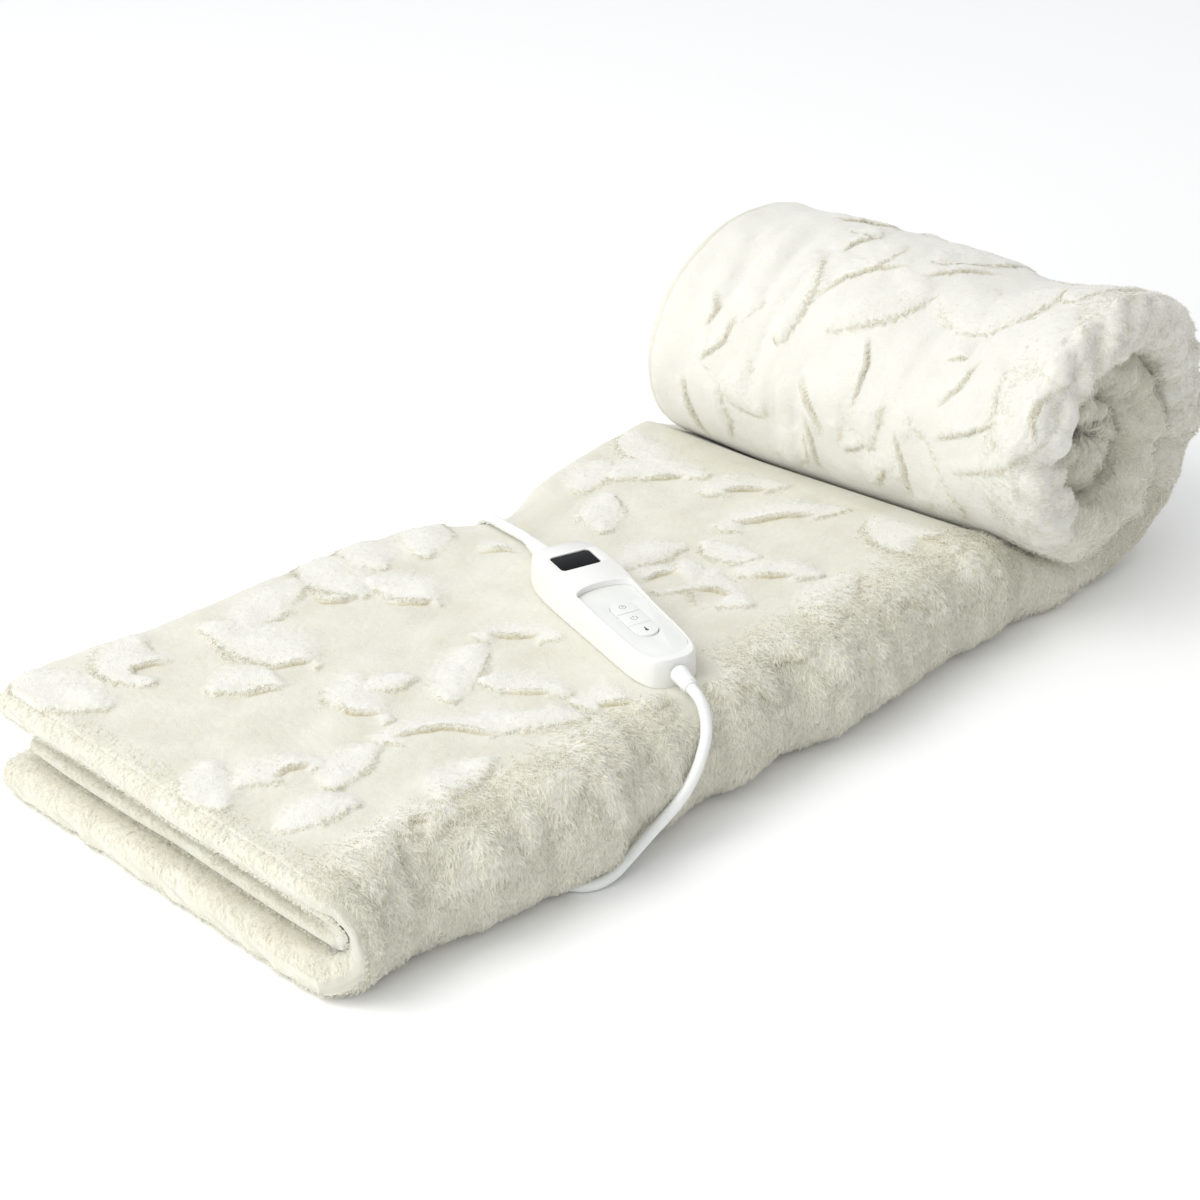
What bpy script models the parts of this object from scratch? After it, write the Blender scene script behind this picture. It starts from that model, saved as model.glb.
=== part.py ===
"""Electric heated throw: a plush cloth folded in four along its length, half of it rolled up, with a
handset lying across it, a short lead into the cloth and a mains lead wound in a coil behind the roll.

Units are metres, +Z is up. The band is laid out with X along it from its open end, Y towards its far
side and Z up from the surface that it rests on. Everything is then moved so that the origin lies
under the middle of the cloth's box.
"""

import math

import bmesh
import bpy
import numpy as np
from mathutils import Vector

# The cloth: cut size, and the band that it makes when it is folded in four.
CLOTH_WIDTH = 1.27
LAYERS = 4
BAND_WIDTH = CLOTH_WIDTH / LAYERS
MIDDLE = (0.3991, -0.0064)  # of the cloth's box, along and across the band

# The roll: a spiral that starts flat under its own middle and winds back over the band.
ROLL_ALONG = 0.657
ROLL_RADIUS = 0.118
ROLL_PITCH = 0.0387
ROLL_COLUMNS = ("degrees", "thick")
ROLL_THICK = (
    (0, 0.0373),
    (690, 0.0373),
    (720, 0.0363),
    (765, 0.0320),
    (810, 0.0271),
    (855, 0.0223),
    (922.5, 0.0155),
)
ROLL_END_DEG = 922.5
OUTER_STEP_DEG, INNER_STEP_DEG = 20.0, 22.5  # between stations in the first turn and in the rest
ROLL_WIDE = 1.15  # it sags into an oval, this much wider along the band
ROLL_SAG = 0.006  # and this much lower
ROLL_SKEW = 0.12  # its axis turns this much off square
ROLL_TAPER = 0.12  # and it stands this much higher at its near end, per metre across
ROLL_FLARE = (0.018, -0.036)  # it widens at its far end and narrows at its near one
HOLLOW_ACROSS, HOLLOW_WIDE, HOLLOW_DEEP = -0.080, 0.050, 0.011  # in the roll's top
FAR_HEAVE, HEAVE_ALONG, HEAVE_WIDE = 0.009, 0.625, 0.060  # of the far side where the roll meets the band
# Heights or places over which one of these comes in.
SAG_FROM_TO, FLARE_FROM_TO, HOLLOW_FROM_TO = (0.04, 0.21), (0.06, 0.14), (0.14, 0.21)
SKEW_FROM_TO = (0.40, 0.55)  # along the band
HEAVE_UP, HEAVE_DOWN, HEAVE_ACROSS = (0.0, 0.05), (0.06, 0.16), (0.03, 0.14)

# Height of the folded stack along the band.
STACK_COLUMNS = ("along", "height")
STACK = (
    (0.000, 0.0780),
    (0.100, 0.0765),
    (0.250, 0.0745),
    (0.420, 0.0745),
    (0.500, 0.0735),
    (0.550, 0.0710),
    (0.570, 0.0678),
    (0.583, 0.0598),
    (0.596, 0.0512),
    (0.610, 0.0443),
    (0.625, 0.0395),
    (0.641, 0.0374),
    (0.657, 0.0373),
)
# How far the roll's turns stand out sideways, by angle round the spiral.
SHIFT_COLUMNS = ("degrees", "across")
SHIFT = (
    (0, 0.0),
    (90, -0.008),
    (180, -0.020),
    (270, -0.026),
    (330, -0.024),
    (420, -0.009),
    (520, 0.004),
    (720, 0.000),
    (923, 0.004),
)

# Layers and gaps from the top down, as shares of the stack: at the open end, in the band, in the roll.
SHARE_COLUMNS = ("layer_1", "gap_12", "layer_2", "gap_23", "layer_3", "gap_34", "layer_4")
SHARES_END = (0.205, 0.040, 0.155, 0.100, 0.160, 0.015, 0.325)
SHARES_BAND = (0.235, 0.020, 0.220, 0.045, 0.220, 0.020, 0.240)
SHARES_ROLL = (0.240, 0.022, 0.230, 0.022, 0.230, 0.022, 0.234)
END_REACH = 0.10  # the open end's shares fade into the band's over this length
LAYER_SETBACK = (-0.001, 0.012, 0.016, 0.003)  # of each layer's hem at the open end
SETBACK_REACH = 0.06
LIP = ((0.0, 0.45), (0.004, 0.80), (0.011, 1.0))  # along, share of a layer's thickness at its hem
NEAR_BULGE = 0.40  # depth of the wide fold, as a share of the stack's height
NEAR_OUT = 0.009  # how far its pile stands out beyond the band's width
BULGE_COLUMNS = ("along", "wide", "out")
NEAR_BULGES = (
    (0.050, 0.030, -0.009),
    (0.185, 0.045, 0.011),
    (0.315, 0.022, 0.004),
    (0.400, 0.025, 0.003),
    (0.440, 0.060, 0.008),
    (0.480, 0.020, -0.004),
)
FAR_BULGES = ((0.050, 0.040, 0.009), (0.420, 0.130, -0.022), (0.670, 0.050, 0.009))
DENT_ALONG, DENT_WIDE = 0.380, 0.042  # of the far edge under the mains lead
DENT_IN, DENT_DOWN = 0.014, 0.13  # metres, share of the height
DENT_ACROSS = (0.060, 0.125)  # over which it presses the top down
FOLD_STEP = 0.005  # the inner near fold lies this much further in
FACE_POINTS = 18  # across the outer faces
BAND_STATIONS = 24

# The raised motifs of the pile, each petal in millimetres: its middle along and across, its heading in
# degrees, where 0 is towards the roll and 90 towards the far side, its length and width, and its bend.
PILE_RISE = 0.0050
LEAST_PETAL = 0.0240  # narrower petals spread to this width
PETAL_COLUMNS = ("along", "across", "heading", "length", "width", "bend")
BAND_PETALS = (
    (30, 128, 100, 62, 30, 0.15),
    (82, 122, 60, 50, 28, 0.30),
    (146, 84, 100, 72, 32, -0.12),
    (112, 52, 330, 40, 20, 0.30),
    (185, 120, 20, 60, 24, 0.10),
    (240, 122, 80, 52, 30, 0.10),
    (274, 130, 70, 42, 24, 0.10),
    (254, 74, 100, 48, 22, -0.30),
    (318, 118, 40, 46, 24, 0.10),
    (152, -10, 250, 50, 24, -0.35),
    (173, -7, 340, 28, 13, 0.10),
    (62, -38, 340, 46, 19, 0.20),
    (28, -22, 60, 42, 22, 0.20),
    (50, -86, 350, 42, 19, 0.20),
    (97, -62, 20, 46, 19, 0.20),
    (158, -71, 325, 72, 21, 0.12),
    (203, -94, 322, 62, 20, 0.10),
    (228, -67, 300, 48, 19, 0.15),
    (255, -118, 310, 46, 19, 0.10),
    (267, -20, 315, 46, 19, 0.15),
    (214, -30, 30, 60, 21, 0.20),
    (84, -130, 340, 40, 19, 0.15),
    (132, -118, 15, 46, 19, 0.20),
    (400, -6, 350, 46, 18, 0.20),
    (391, -36, 200, 42, 18, 0.30),
    (404, -72, 250, 42, 22, -0.40),
    (440, -80, 310, 46, 19, 0.10),
    (442, -38, 100, 34, 17, 0.30),
    (500, -30, 335, 80, 23, 0.10),
    (520, 18, 330, 50, 21, 0.20),
    (495, 74, 320, 58, 28, 0.40),
    (528, 108, 60, 50, 26, 0.10),
    (462, 104, 20, 50, 21, 0.15),
    (424, 58, 40, 50, 21, 0.15),
    (440, -130, 30, 50, 23, 0.20),
    (472, -160, 325, 48, 21, 0.10),
    (538, -108, 260, 60, 30, -0.35),
    (548, -172, 330, 52, 25, 0.30),
    (337, -165, 325, 60, 20, 0.10),
    (374, -150, 335, 46, 17, 0.15),
    (402, -176, 315, 42, 17, 0.10),
    (432, -190, 310, 36, 17, 0.10),
    (214, -160, 60, 62, 28, 0.30),
    (236, -190, 340, 42, 19, 0.20),
    (160, -165, 20, 52, 22, 0.20),
    (100, -176, 350, 46, 20, 0.20),
    (48, -140, 40, 46, 20, 0.20),
)
# The same on the roll, with the angle round it in degrees in the first column.
ROLL_PETALS = (
    (246, -22, 350, 64, 23, 0.10),
    (244, 0, 20, 56, 20, -0.20),
    (263, 4, 10, 42, 17, 0.10),
    (236, 94, 20, 52, 20, 0.50),
    (252, 76, 330, 56, 19, 0.30),
    (206, 0, 43, 66, 24, 0.10),
    (190, -52, 320, 54, 23, 0.10),
    (270, -72, 329, 66, 20, 0.10),
    (279, -42, 45, 36, 14, 0.10),
    (290, -66, 15, 30, 13, 0.10),
    (289, -88, 350, 36, 15, 0.10),
    (238, -112, 350, 48, 24, 0.40),
    (254, -128, 57, 64, 20, 0.10),
    (240, -172, 0, 48, 23, -0.40),
    (186, -88, 20, 52, 23, 0.10),
    (204, -140, 330, 52, 20, 0.10),
    (214, 62, 350, 60, 19, 0.10),
    (190, 36, 20, 46, 19, 0.10),
    (280, 98, 0, 46, 19, 0.20),
    (284, 34, 20, 34, 15, 0.10),
    (160, -20, 30, 60, 24, 0.20),
    (158, 70, 330, 56, 22, 0.20),
    (162, -120, 10, 56, 22, 0.20),
    (132, 20, 60, 60, 24, 0.30),
    (128, -70, 340, 60, 24, 0.20),
    (104, 84, 20, 56, 22, 0.20),
    (100, -20, 320, 60, 24, 0.20),
    (98, -130, 40, 56, 22, 0.20),
    (74, 40, 350, 60, 24, 0.20),
    (66, -70, 20, 60, 24, 0.20),
)

# The handset, along from its far tip to its near end.
CASE_START = (0.345, 0.034)
CASE_HEADING_DEG = -106.8
CASE_BASE = 0.0748  # height that it lies at, just clear of the pile
CASE_COLUMNS = ("along", "half_width", "top")
CASE_TABLE = (
    (0.000, 0.0070, 0.0132),
    (0.003, 0.0108, 0.0156),
    (0.008, 0.0150, 0.0188),
    (0.015, 0.0194, 0.0218),
    (0.024, 0.0226, 0.0237),
    (0.034, 0.0243, 0.0240),
    (0.046, 0.0250, 0.0240),
    (0.060, 0.0249, 0.0240),
    (0.072, 0.0245, 0.0234),
    (0.086, 0.0239, 0.0222),
    (0.102, 0.0233, 0.0211),
    (0.120, 0.0227, 0.0206),
    (0.138, 0.0221, 0.0204),
    (0.150, 0.0212, 0.0203),
    (0.159, 0.0195, 0.0202),
    (0.165, 0.0168, 0.0201),
    (0.169, 0.0130, 0.0200),
    (0.171, 0.0075, 0.0198),
)
CASE_SIDES = (  # share of the half width and of the height, up one side of a cross-section
    (0.900, 0.000),
    (0.975, 0.050),
    (1.000, 0.150),
    (0.990, 0.400),
    (0.968, 0.700),
    (0.940, 0.880),
    (0.900, 0.965),
    (0.850, 1.000),
)
PANEL_FLOOR = 0.0180  # height of the recess that the key panel lies in
PANEL_THICK = 0.0013
PANEL_FROM, PANEL_TO = 0.072, 0.1665
PANEL_RIM = 0.0040  # between the panel and the case's side
PANEL_ARC = 0.0085  # how far its far end bows towards the head
PANEL_NEAR = 0.1500  # where its rounded near end starts
KEY_PAD = (0.0945, 0.1400)  # along the case
KEY_PAD_HALF = 0.0082
KEY_TOP = 0.0205
KEY_BOTTOM = 0.0168
KEY_POCKET = 0.0155
KEY_PARTING = 0.0004
KEY_NAMES = ("key_timer", "key_power", "key_heat")
WINDOW_ALONG = 0.040
WINDOW_SIZE = (0.0200, 0.0285)
WINDOW_ROUND = 0.0030
WINDOW_SINK = 0.0012
CLEAR = 0.0003  # gap between neighbouring pieces
SLEEVE_GAP = 0.0014  # the near sleeve slopes, so its upper edge is nearer

# The cords.
CORD_RADIUS = 0.0036
RELIEF_NEAR_HEIGHT, RELIEF_FAR_HEIGHT = 0.0105, 0.0070  # above the case's base
RELIEF_DIP = -0.174  # slope of the near sleeve
NEAR_PROFILE = (
    (0.0, 0.0057),
    (0.0025, 0.0059),
    (0.0105, 0.0050),
    (0.0115, 0.0053),
    (0.0132, 0.0053),
    (0.0138, 0.0045),
    (0.0155, 0.0042),
)
FAR_PROFILE = ((0.0, 0.0062), (0.004, 0.0062), (0.010, 0.0054), (0.022, 0.0043))
STRAIGHT = 0.007  # length of lead that leaves a sleeve straight
ROUTE_COLUMNS = ("along", "across", "up")
BLANKET_ROUTE = (
    (0.2886, -0.1562, 0.0778),
    (0.2878, -0.1602, 0.0712),
    (0.2856, -0.1634, 0.0648),
    (0.2815, -0.1666, 0.0595),
    (0.2766, -0.1693, 0.0553),
    (0.2700, -0.1724, 0.0503),
    (0.2610, -0.1750, 0.0437),
    (0.2510, -0.1758, 0.0362),
    (0.2400, -0.1750, 0.0290),
    (0.2290, -0.1738, 0.0225),
    (0.2180, -0.1732, 0.0165),
    (0.2080, -0.1730, 0.0115),
    (0.1990, -0.1728, 0.0075),
    (0.1910, -0.1724, 0.0052),
    (0.1830, -0.1718, 0.0043),
)
MAINS_ROUTE = (
    (0.3575, 0.0760, 0.0794),
    (0.3600, 0.0870, 0.0778),
    (0.3630, 0.0975, 0.0760),
    (0.3660, 0.1075, 0.0741),
    (0.3690, 0.1170, 0.0708),
    (0.3718, 0.1247, 0.0650),
    (0.3745, 0.1300, 0.0572),
    (0.3772, 0.1338, 0.0480),
    (0.3800, 0.1373, 0.0382),
    (0.3832, 0.1408, 0.0288),
    (0.3872, 0.1454, 0.0200),
    (0.3925, 0.1514, 0.0132),
    (0.4000, 0.1585, 0.0087),
    (0.4110, 0.1672, 0.0058),
    (0.4260, 0.1752, 0.0045),
    (0.4470, 0.1818, 0.0041),
    (0.4750, 0.1855, 0.0041),
    (0.5200, 0.1862, 0.0041),
    (0.5800, 0.1862, 0.0041),
    (0.6400, 0.1862, 0.0041),
    (0.6800, 0.1861, 0.0041),
    (0.7083, 0.1860, 0.0041),
)
TAIL_ROUTE = (
    (0.7617, 0.1860, 0.0109),
    (0.7720, 0.1860, 0.0092),
    (0.7830, 0.1860, 0.0066),
    (0.7940, 0.1860, 0.0050),
    (0.8047, 0.1839, 0.0043),
    (0.8138, 0.1778, 0.0045),
    (0.8199, 0.1687, 0.0056),
    (0.8220, 0.1590, 0.0070),
    (0.8220, 0.1503, 0.0075),
)
COIL_MIDDLE = (0.7350, 0.2329)
COIL_TURN_RADII = (0.0323, 0.0396, 0.0469)
COIL_LAYERS = 2
COIL_LAYER_STEP = 0.0073
PLUG_ALONG = 0.8220
PLUG_HEIGHT = 0.0075
PLUG_BOOT = ((0.0, 0.0042), (0.006, 0.0046), (0.018, 0.0058), (0.024, 0.0062))
PLUG_BOOT_START = 0.1500
PLUG_BODY_START = 0.1257
PLUG_BODY_LENGTH = 0.0350
PLUG_BODY_WIDTH = 0.0353
PLUG_BODY_THICK = 0.0137
PIN_SPREAD = 0.0186
PIN_RADIUS = 0.0020
PIN_LENGTH = 0.0190


def clear_scene():
    for obj in list(bpy.data.objects):
        bpy.data.objects.remove(obj)


def new_collection(name):
    collection = bpy.data.collections.new(name)
    bpy.context.scene.collection.children.link(collection)
    return collection


def new_material(name, colour, roughness, metallic=0.0):
    material = bpy.data.materials.new(name)
    material.use_nodes = True
    shader = material.node_tree.nodes["Principled BSDF"]
    shader.inputs["Base Color"].default_value = (*colour, 1.0)
    shader.inputs["Roughness"].default_value = roughness
    shader.inputs["Metallic"].default_value = metallic
    material.diffuse_color = (*colour, 1.0)
    return material


def add_object(name, data, collection, material=None):
    obj = bpy.data.objects.new(name, data)
    collection.objects.link(obj)
    if material is not None:
        data.materials.append(material)
    return obj


def mesh_from_bmesh(name, shape, smooth_deg=None):
    """A mesh with its faces pointing out, shaded smooth but for the edges sharper than smooth_deg."""
    bmesh.ops.recalc_face_normals(shape, faces=shape.faces)
    mesh = bpy.data.meshes.new(name)
    shape.to_mesh(mesh)
    shape.free()
    if smooth_deg is not None:
        mesh.shade_smooth()
        mesh.set_sharp_from_angle(angle=math.radians(smooth_deg))
    return mesh


def smoothstep(low, high, value):
    t = np.clip((value - low) / (high - low), 0.0, 1.0)
    return t * t * (3.0 - 2.0 * t)


def read_table(table, column, value):
    """A column of a table whose first column rises, read at value between its rows."""
    rows = np.array(table, float)
    return np.interp(value, rows[:, 0], rows[:, column])


def loft(name, rings, smooth_deg, end_faces=None, rising=None):
    """A closed skin over rings of the same number of points. Each end is one face or the given ones.

    With rising, which says for each point whether the next one lies further across, the skin is split
    into triangles the same way on faces that lie back to back, so that they can't cross.
    """
    shape = bmesh.new()
    loops = [[shape.verts.new(point) for point in ring] for ring in rings]
    for near, far in zip(loops, loops[1:]):
        for i, corner in enumerate(near):
            following = (i + 1) % len(near)
            quad = (corner, near[following], far[following], far[i])
            if rising is None:
                shape.faces.new(quad)
                continue
            if not rising[i]:
                quad = (*quad[1:], quad[0])
            shape.faces.new(quad[:3])
            shape.faces.new((quad[0], quad[2], quad[3]))
    for end in (loops[0], loops[-1]):
        for face in end_faces or [range(len(end))]:
            shape.faces.new([end[i] for i in face])
    return mesh_from_bmesh(name, shape, smooth_deg)


# The cloth.


def petal_lines(petals, along_of):
    """Each petal as points of its bowed middle line on the cloth and its half width, in metres."""
    lines = []
    for along, across, heading, length, width, bend in petals:
        out = np.array((math.cos(math.radians(heading)), math.sin(math.radians(heading))))
        side = np.array((-out[1], out[0]))
        t = np.linspace(-0.5, 0.5, 6)[:, None]
        points = (out * t + side * bend * (0.25 - t * t) * 2.0) * (length / 1000.0)
        lines.append((points + (along_of(along), across / 1000.0), max(width / 1000.0, LEAST_PETAL) / 2.0))
    return lines


def pile_rise(lines, along, across):
    """How far the pile stands up at a point of the cloth: a rounded ridge along each petal."""
    rise = 0.0
    here = np.array((along, across))
    for points, half in lines:
        starts, runs = points[:-1], np.diff(points, axis=0)
        share = np.clip(((here - starts) * runs).sum(1) / (runs**2).sum(1), 0.0, 1.0)
        away = np.linalg.norm(starts + runs * share[:, None] - here, axis=1).min() / half
        if away < 1.0:
            rise = max(rise, (1.0 - away**2) ** 0.7)
    return PILE_RISE * rise


def rolled_length(degrees):
    """Length of the spiral's underside from its start."""
    return math.radians(degrees) * (ROLL_RADIUS - ROLL_PITCH * degrees / 720.0)


def roll_petal_place(degrees):
    return ROLL_ALONG + rolled_length(degrees)


def clear_of_handset(along, across):
    """0 under the handset and its cords, rising to 1 away from them."""
    heading = math.radians(CASE_HEADING_DEG)
    dx, dy = along - CASE_START[0], across - CASE_START[1]
    down = dx * math.cos(heading) + dy * math.sin(heading)
    side = -dx * math.sin(heading) + dy * math.cos(heading)
    over = max(-0.13 - down, down - 0.20, 0.0)
    wide = 0.046 if down > -0.01 else 0.028
    return float(smoothstep(0.0, 0.010, math.hypot(max(abs(side) - wide, 0.0), over)))


def stack_levels(along, degrees, plump):
    """Heights of the eight faces, top of layer 1 down to the bottom of layer 4."""
    to_band = smoothstep(0.0, END_REACH, along)
    to_roll = smoothstep(0.50, ROLL_ALONG, along)
    shares = np.array(SHARES_END) * (1.0 - to_band) + np.array(SHARES_BAND) * to_band
    shares = shares * (1.0 - to_roll) + np.array(SHARES_ROLL) * to_roll
    height = float(read_table(ROLL_THICK, 1, degrees) if degrees > 0.0 else read_table(STACK, 1, along))
    levels = height * (1.0 - np.concatenate(((0.0,), np.cumsum(shares))))
    levels[-1] = 0.0
    for top in range(0, 8, 2):
        middle = (levels[top] + levels[top + 1]) / 2.0
        half = (levels[top] - levels[top + 1]) / 2.0 * plump
        levels[top], levels[top + 1] = middle + half, middle - half
    return levels


def bulges(table, along):
    return sum(out * math.exp(-(((along - middle) / wide) ** 2)) for middle, wide, out in table)


def edge_out(along, degrees):
    """How far the near fold and the far edge stand out: they are uneven, and calm as the roll starts."""
    fade = float(1.0 - smoothstep(10.0, 90.0, degrees))
    near = NEAR_OUT - 0.002 * math.sin(along * 88.0 + 0.6) + bulges(NEAR_BULGES, along)
    return near * fade, bulges(FAR_BULGES, along) * fade


def top_swell(along, across):
    """The band's top rises and falls a little."""
    return 0.0016 * math.sin(along * 23.0 + 1.0) * math.cos(across * 17.0 + along * 9.0)


def cord_dent(along):
    """The mains lead presses the far edge in and down where it crosses."""
    return math.exp(-(((along - DENT_ALONG) / DENT_WIDE) ** 2))


def stack_outline(along, degrees, plump, band_lines, roll_lines):
    """The cross-section, round one back-and-forth sheet: (across, up, layer, place along the sheet).

    The place runs from 0 at layer 4's free edge to 7 at layer 3's, up one face and back down the other.
    """
    levels = stack_levels(along, degrees, plump)
    top_1, under_1, top_2, under_2, top_3, under_3, top_4, under_4 = levels
    on_floor = degrees == 0.0
    dent = cord_dent(along) if on_floor else 0.0
    bulge = NEAR_BULGE * (top_1 - under_4)
    near_out, far_out = edge_out(along, degrees)
    near = -BAND_WIDTH / 2.0 + bulge - near_out
    near_in = near + FOLD_STEP
    hairpin = 0.8 * (top_1 - under_2) / 2.0
    edge = BAND_WIDTH / 2.0 + far_out
    far = edge - hairpin - DENT_IN * dent
    far_3 = edge - 0.012 - 0.7 * DENT_IN * dent
    far_4 = edge - 0.006 - 0.4 * DENT_IN * dent
    in_bulge = bulge - (top_1 - under_1 + top_4 - under_4) / 2.0 * 0.9
    tuck = max(in_bulge - 0.001, 0.003)
    tuck_in = max(tuck - (top_2 - under_2 + top_3 - under_3) / 2.0 * 0.9, 0.0012)
    face = np.linspace(0.0, 1.0, FACE_POINTS)
    calm = smoothstep(0.0, 0.03, along) * (1.0 - smoothstep(0.50, 0.545, along))
    shown = smoothstep(40.0, 75.0, degrees) * (1.0 - smoothstep(285.0, 310.0, degrees))

    def top_lift(across):
        if not on_floor or calm <= 0.0:
            return 0.0
        free = calm * clear_of_handset(along, across)
        return free * (pile_rise(band_lines, along, across) + top_swell(along, across))

    def under_lift(across):
        if shown <= 0.0:
            return 0.0
        return -shown * pile_rise(roll_lines, roll_petal_place(degrees), across)

    outline = []

    def run(start, end, level, steps, layer, place, lift=None):
        turned_back = len(outline) > 0 and place < outline[-1][3]
        for t in (0.0, (HOLLOW_ACROSS - start) / (end - start), 1.0) if steps is None else steps:
            across = start + (end - start) * t
            rise = lift(across) if lift else 0.0
            outline.append((across, level + rise, layer, place - t if turned_back else place + t))

    def bend(across, one, other, depth, count, layers, places, towards=-1.0):
        middle, rise = (one + other) / 2.0, (one - other) / 2.0
        for i in range(1, count + 1):
            share = i / (count + 1)
            angle = math.pi * (0.5 - share)
            point = (across + towards * depth * math.cos(angle), middle + rise * math.sin(angle))
            layer = layers[0] + (layers[1] - layers[0]) * share
            outline.append((*point, layer, places[0] + (places[1] - places[0]) * share))

    run(far_4, near, under_4, face, 4, 0.0, under_lift)
    bend(near, under_4, top_1, bulge, 6, (4, 1), (1, 2))
    run(near, far, top_1, face, 1, 2.0, top_lift)
    bend(far, top_1, under_2, hairpin, 3, (1, 2), (3, 4), 1.0)
    run(far, near_in, under_2, None, 2, 4.0)
    bend(near_in, under_2, top_3, tuck_in, 1, (2, 3), (5, 6))
    run(near_in, far_3, top_3, None, 3, 6.0)
    bend(far_3, top_3, under_3, 0.4 * (top_3 - under_3), 1, (3, 3), (7, 7), 1.0)
    run(far_3, near_in, under_3, None, 3, 7.0)
    bend(near_in, under_3, top_2, tuck, 4, (3, 2), (6, 5))
    run(near_in, far, top_2, None, 2, 5.0)
    bend(far, top_2, under_1, 0.6 * (under_1 - top_2) / 2.0, 1, (2, 1), (4, 3), 1.0)
    run(far, near, under_1, None, 1, 3.0)
    bend(near, under_1, top_4, in_bulge, 4, (1, 4), (2, 1))
    run(near, far_4, top_4, None, 4, 1.0)
    bend(far_4, top_4, under_4, 0.4 * (top_4 - under_4), 1, (4, 4), (0, 0), 1.0)
    return outline


def cut_faces(outline):
    """Triangles across the cut sheet, as it winds from its first free edge to the other."""
    places = [point[3] for point in outline]
    turn = next(i for i in range(1, len(places)) if places[i] < places[i - 1])
    up, down = 0, len(places) - 1
    faces = []
    while down > up + 1:
        if up < turn - 1 and (places[up + 1] <= places[down - 1] or down <= turn):
            faces.append((up, up + 1, down))
            up += 1
        else:
            faces.append((up, down - 1, down))
            down -= 1
    return faces


def heave(along, up):
    """How much of the far side's heave a place near the roll has: none on the floor or up on the roll."""
    near_roll = math.exp(-(((along - HEAVE_ALONG) / HEAVE_WIDE) ** 2))
    return near_roll * smoothstep(*HEAVE_UP, up) * (1.0 - smoothstep(*HEAVE_DOWN, up))


def on_path(along, degrees, across, up, layer):
    """Where a point of the cross-section lies: flat along the band, then round the spiral."""
    setback = np.interp(layer, (1, 2, 3, 4), LAYER_SETBACK) * (1.0 - smoothstep(0.0, SETBACK_REACH, along))
    if degrees <= 0.0:
        down = DENT_DOWN * cord_dent(along) * smoothstep(*DENT_ACROSS, across)
        x, y, z = along + setback, across, up * (1.0 - down)
    else:
        turn = math.radians(degrees)
        radius = ROLL_RADIUS - ROLL_PITCH * degrees / 360.0 - up
        height = ROLL_RADIUS - radius * math.cos(turn)
        x = ROLL_ALONG + ROLL_WIDE * radius * math.sin(turn)
        y = across + float(read_table(SHIFT, 1, degrees))
        y *= 1.0 + (ROLL_FLARE[0] if y > 0.0 else ROLL_FLARE[1]) * smoothstep(*FLARE_FROM_TO, height)
        z = height - ROLL_SAG * smoothstep(*SAG_FROM_TO, height)
    rolled = smoothstep(*SKEW_FROM_TO, x)
    z *= 1.0 - ROLL_TAPER * y * rolled
    hollow = HOLLOW_DEEP * math.exp(-(((y - HOLLOW_ACROSS) / HOLLOW_WIDE) ** 2))
    z += FAR_HEAVE * heave(x, z) * smoothstep(*HEAVE_ACROSS, y) - hollow * smoothstep(*HOLLOW_FROM_TO, z)
    return Vector((x - ROLL_SKEW * y * rolled, y, z))


def path_stations():
    """(along, degrees, plump) of each cross-section, from the open end to the roll's core."""
    stations = [(along, 0.0, plump) for along, plump in LIP]
    stations += [(along, 0.0, 1.0) for along in np.linspace(0.035, 0.550, BAND_STATIONS)]
    stations += [(along, 0.0, 1.0) for along, _ in STACK if along > 0.56]
    outer = np.arange(OUTER_STEP_DEG, 360.1, OUTER_STEP_DEG)
    inner = np.arange(360.0 + INNER_STEP_DEG, ROLL_END_DEG, INNER_STEP_DEG)
    stations += [(ROLL_ALONG, float(degrees), 1.0) for degrees in (*outer, *inner)]
    stations.append((ROLL_ALONG, ROLL_END_DEG, 0.6))
    return stations


def make_throw(collection):
    band_lines = petal_lines(BAND_PETALS, lambda millimetres: millimetres / 1000.0)
    roll_lines = petal_lines(ROLL_PETALS, roll_petal_place)
    rings = []
    for along, degrees, plump in path_stations():
        outline = stack_outline(along, degrees, plump, band_lines, roll_lines)
        rings.append([on_path(along, degrees, *point[:3]) for point in outline])
    across = [point[0] for point in outline]
    rising = [after > here for here, after in zip(across, across[1:] + across[:1])]
    material = new_material("ivory_plush", (0.86, 0.84, 0.76), 0.95)
    skin = loft("throw", rings, 60, cut_faces(outline), rising)
    return add_object("throw", skin, collection, material)


# The handset. Its pieces are modelled along X from the far tip and then laid across the band.


def lay_on_band(obj):
    obj.location = (*CASE_START, CASE_BASE)
    obj.rotation_euler = (0.0, 0.0, math.radians(CASE_HEADING_DEG))


def case_half(along):
    return float(read_table(CASE_TABLE, 1, along))


def case_top(along):
    return float(read_table(CASE_TABLE, 2, along))


def make_case(collection, material):
    rings = []
    for along, half, top in CASE_TABLE:
        side = [(half * wide, top * high) for wide, high in CASE_SIDES]
        ring = side + [(-across, up) for across, up in reversed(side)]
        rings.append([(along, across, up) for across, up in ring])
    obj = add_object("handset_case", loft("handset_case", rings, 40), collection, material)
    lay_on_band(obj)
    return obj


def flat_plate(name, outline, low, high, collection, material=None):
    """A straight-sided plate over an outline."""
    shape = bmesh.new()
    base = shape.faces.new([shape.verts.new((x, y, low)) for x, y in outline])
    grown = bmesh.ops.extrude_face_region(shape, geom=[base])
    tops = [v for v in grown["geom"] if isinstance(v, bmesh.types.BMVert)]
    bmesh.ops.translate(shape, verts=tops, vec=(0.0, 0.0, high - low))
    obj = add_object(name, mesh_from_bmesh(name, shape, 40), collection, material)
    lay_on_band(obj)
    return obj


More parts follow.
